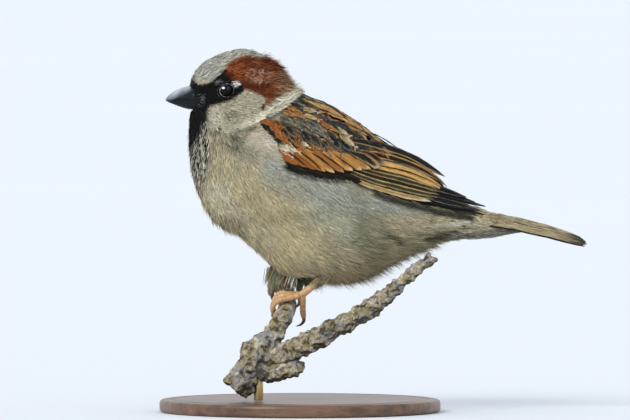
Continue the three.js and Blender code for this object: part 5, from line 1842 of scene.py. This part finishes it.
# the mantle and rump, between the wings
mantleCare = {"spacing": 1.65, "length": 6.2, "width": 2.3}
faceGx, faceGy = toGrid(faceMiddles)
topEdge = np.interp(faceGx, [290, 302, 330, 360, 400, 440, 470, 500],
    [90, 93, 104, 122, 147, 173, 196, 207])
strip = np.interp(faceMiddles[:, 0], [-30, 6, 26, 35, 50, 63], [9, 7.4, 4.4, 2.4, 2.4, 5])
mantleFaces = (faceGy < topEdge
    + 14) & (faceGx > 292) & (faceGx < 503) & (np.abs(faceMiddles[:, 1]) < strip)
mantleFaces |= (faceGx > 484) & (faceGx < 503) & (faceGy < topEdge + 9)
mantlePart = len(coatParts)
faceParts = np.where(mantleFaces, mantlePart, -1)
roots, faces = scattered(mantlePart, mantleCare["spacing"])
order = np.argsort(-roots[:, 0])
bank = newBank()
for root, face in zip(roots[order], faces[order]):
    gx, gy = toGrid(root)
    aside = abs(root[1])
    if gx > 470:
        kind = "rump"
    elif gx < 303:
        kind = "napeGrey"
    elif gx > 388 or aside < 1.7 + chance.normal(0, 0.3):
        kind = "topDark"
    elif aside < 4.6 or chance.random() < 0.3:
        kind = "orangeStripe"
    else:
        kind = "topDark"
    length = mantleCare["length"] * chance.uniform(0.85, 1.15)
    way = turned(faceWays[face][None], faceNormals[face][None], np.array([chance.normal(0, 0.05)]))[0]
    far = nearest((root + way * length)[None])[0][0]
    half = nearest((root + way * length * 0.5)[None])[0][0]
    level = np.interp(gx, [350, 378, 482, 488], [-0.62, -1.35, -1.6, -1.5])
    addVane(bank, [root, half, far], mantleCare["width"] * chance.uniform(0.85, 1.1), kind, level=level,
        lift=np.interp(gx, [350, 378, 482, 488], [0.5, 0.15, 0.1, 0.2]),
        camber=0.12, along=7, across=5, mirrored=root[1] > 0, fray=0.07, barbs="mantle")
# long feathers over and under the root of the tail
tailRoot = [
    ([(466, 205.5), (486, 212.5), (512, 219)], 2.0, "tail"),
    ([(470, 209.5), (490, 216), (514, 221.5)], 2.2, "tail"),
    ([(486, 212), (500, 216.5), (522, 221)], 2.0, "tail"),
    ([(484, 214.5), (500, 219.5), (520, 223.5)], 2.4, "rump"),
    ([(482, 216.5), (498, 221.5), (515, 225.5)], 2.6, "rump"),
    ([(480, 221), (494, 225), (510, 228)], 2.6, "rump"),
    ([(448, 224), (472, 228), (498, 229.5)], 2.6, "ventCream"),
    ([(436, 228), (466, 231.5), (496, 231)], 2.8, "underTail"),
    ([(442, 233), (474, 234.2), (504, 232.4)], 2.6, "underTail"),
    ([(448, 236.5), (482, 235.2), (520, 232)], 2.2, "underTail"),
    ([(470, 227), (494, 229.6), (519, 231)], 1.8, "underWhite"),
    # a thin line of painted shade between rump and under-tail coverts
    ([(478, 225), (492, 227.8), (510, 229.6)], 0.5, "shadeLine"),
]
for leftSide in (True, False):
    for spots, width, kind in tailRoot:
        addVane(bank, freeSpine(spots, leftSide), width, kind, level=-0.75 if kind == "tail" else -0.2,
            lift=0.3 if kind == "tail" else 0.15, camber=0.12, shape="pointed",
            along=12, across=5, mirrored=not leftSide, drape=wingDrape, fray=0.05, barbs="soft")
sewBank("coatMantle", bank, vaneFinish)
sewBarbs("coatMantleBarbs", bank)


# the tail: twelve feathers, the middle pair on top
tailRows = np.array([  # along, ridge height, half width, fall at the edge
    [47, 64.9, 3.6, 1.6], [60.2, 63.3, 5.6, 3.4], [69.1, 62.4, 7.2, 4.0], [79.4, 59.7, 8.2, 3.2],
    [87, 57.1, 8.8, 2.5], [92, 54.9, 8.6, 1.5],
])


def tailDrape(points):
    x = np.clip(points[:, 0], 47, 92)
    ridge, half, fall = (np.interp(x, tailRows[:, 0], tailRows[:, i]) for i in (1, 2, 3))
    z = ridge - fall * (points[:, 1] / half) ** 2
    ups = unit(np.stack([np.full(len(x), 0.34), 2 * fall * points[:, 1] / half ** 2, np.ones(len(x))],
            -1))
    return np.stack([points[:, 0], points[:, 1], z], -1), ups


for group, members in (("Middle", [0]), ("Left", [1, 2, 3, 4, 5]), ("Right", [1, 2, 3, 4, 5])):
    bank = newBank()
    for k in reversed(members):
        for sign in ((-1, 1) if group == "Middle" else ((-1,) if group == "Left" else (1,))):
            tipX = 89.8 + (0, 0.9, 1.6, 2.0, 1.8, 1.3)[k]
            tipY = sign * (0.75 + 1.42 * k)
            rootY = sign * (0.3 + 0.5 * k)
            spread = tipY - rootY
            spine = [(52, rootY, 0), (62, rootY + spread * 0.35, 0), (76, rootY + spread * 0.75, 0),
                (tipX, tipY, 0)]
            kind = "tailEdge" if k == 5 else "tail" if k % 2 == 0 else "tailDark"
            addVane(bank, spine, 2.9 if k else 3.4, kind, level=-0.16 * k - 0.1,
                lift=0.05, tilt=0.04 * sign, camber=0.1, shape="tail", along=24, across=7,
                drape=tailDrape,
                fray=0.02, barbs="flight")
    sewBank("tail" + group, bank, flightFinish, ["tail_" + group.lower() + "_feathers"],
        thick=0.07)
    sewBarbs("tail" + group + "Barbs", bank)


# the camera, floor and lights
viewCare = {"target": (4.8 * mm, 0, 64.6 * mm), "distance": 3.0, "rise": 1.5, "across": 0.2016}
tilt = math.radians(viewCare["rise"])
target = Vector(viewCare["target"])
bpy.ops.object.camera_add(location=target + Vector((0, -math.cos(tilt), math.sin(tilt)))
    * viewCare["distance"],
    rotation=(math.radians(90) - tilt, 0, 0))
camera = bpy.context.object
camera.data.sensor_width = 36
camera.data.lens = 36 * viewCare["distance"] / viewCare["across"]
camera.data.clip_start = 0.1
camera.data.clip_end = 500
bpy.context.scene.camera = camera

nothingPicked()
bpy.ops.mesh.primitive_plane_add(size=160, location=(0, 0, 0))
floor = bpy.context.object
floor.name = "floor"
floorFinish, shader = newMaterial("paleFloor", Roughness=0.9)
where = objectPlace()
cloud = noiseNode(where, 0.6, 2.0)
wire(mixTone(rangeNode(cloud, 0.3, 0.7), (0.7, 0.733, 0.782), (0.708, 0.741, 0.79)),
    shader.inputs["Base Color"])
floor.data.materials.append(floorFinish)

bpy.ops.object.light_add(type="SUN", location=(-1, -1.5, 2),
    rotation=(math.radians(52), 0, math.radians(-38)))
key = bpy.context.object
key.data.energy = 1.5
key.data.angle = math.radians(24)
key.data.color = (1.0, 0.94, 0.86)
world = bpy.data.worlds.new("softRoom")
bpy.context.scene.world = world
world.use_nodes = True
world.node_tree.nodes["Background"].inputs[0].default_value = (0.9, 0.95, 1.0, 1)
world.node_tree.nodes["Background"].inputs[1].default_value = 1.0
bpy.context.scene.view_settings.view_transform = "Standard"
print("camera, floor and lights done")
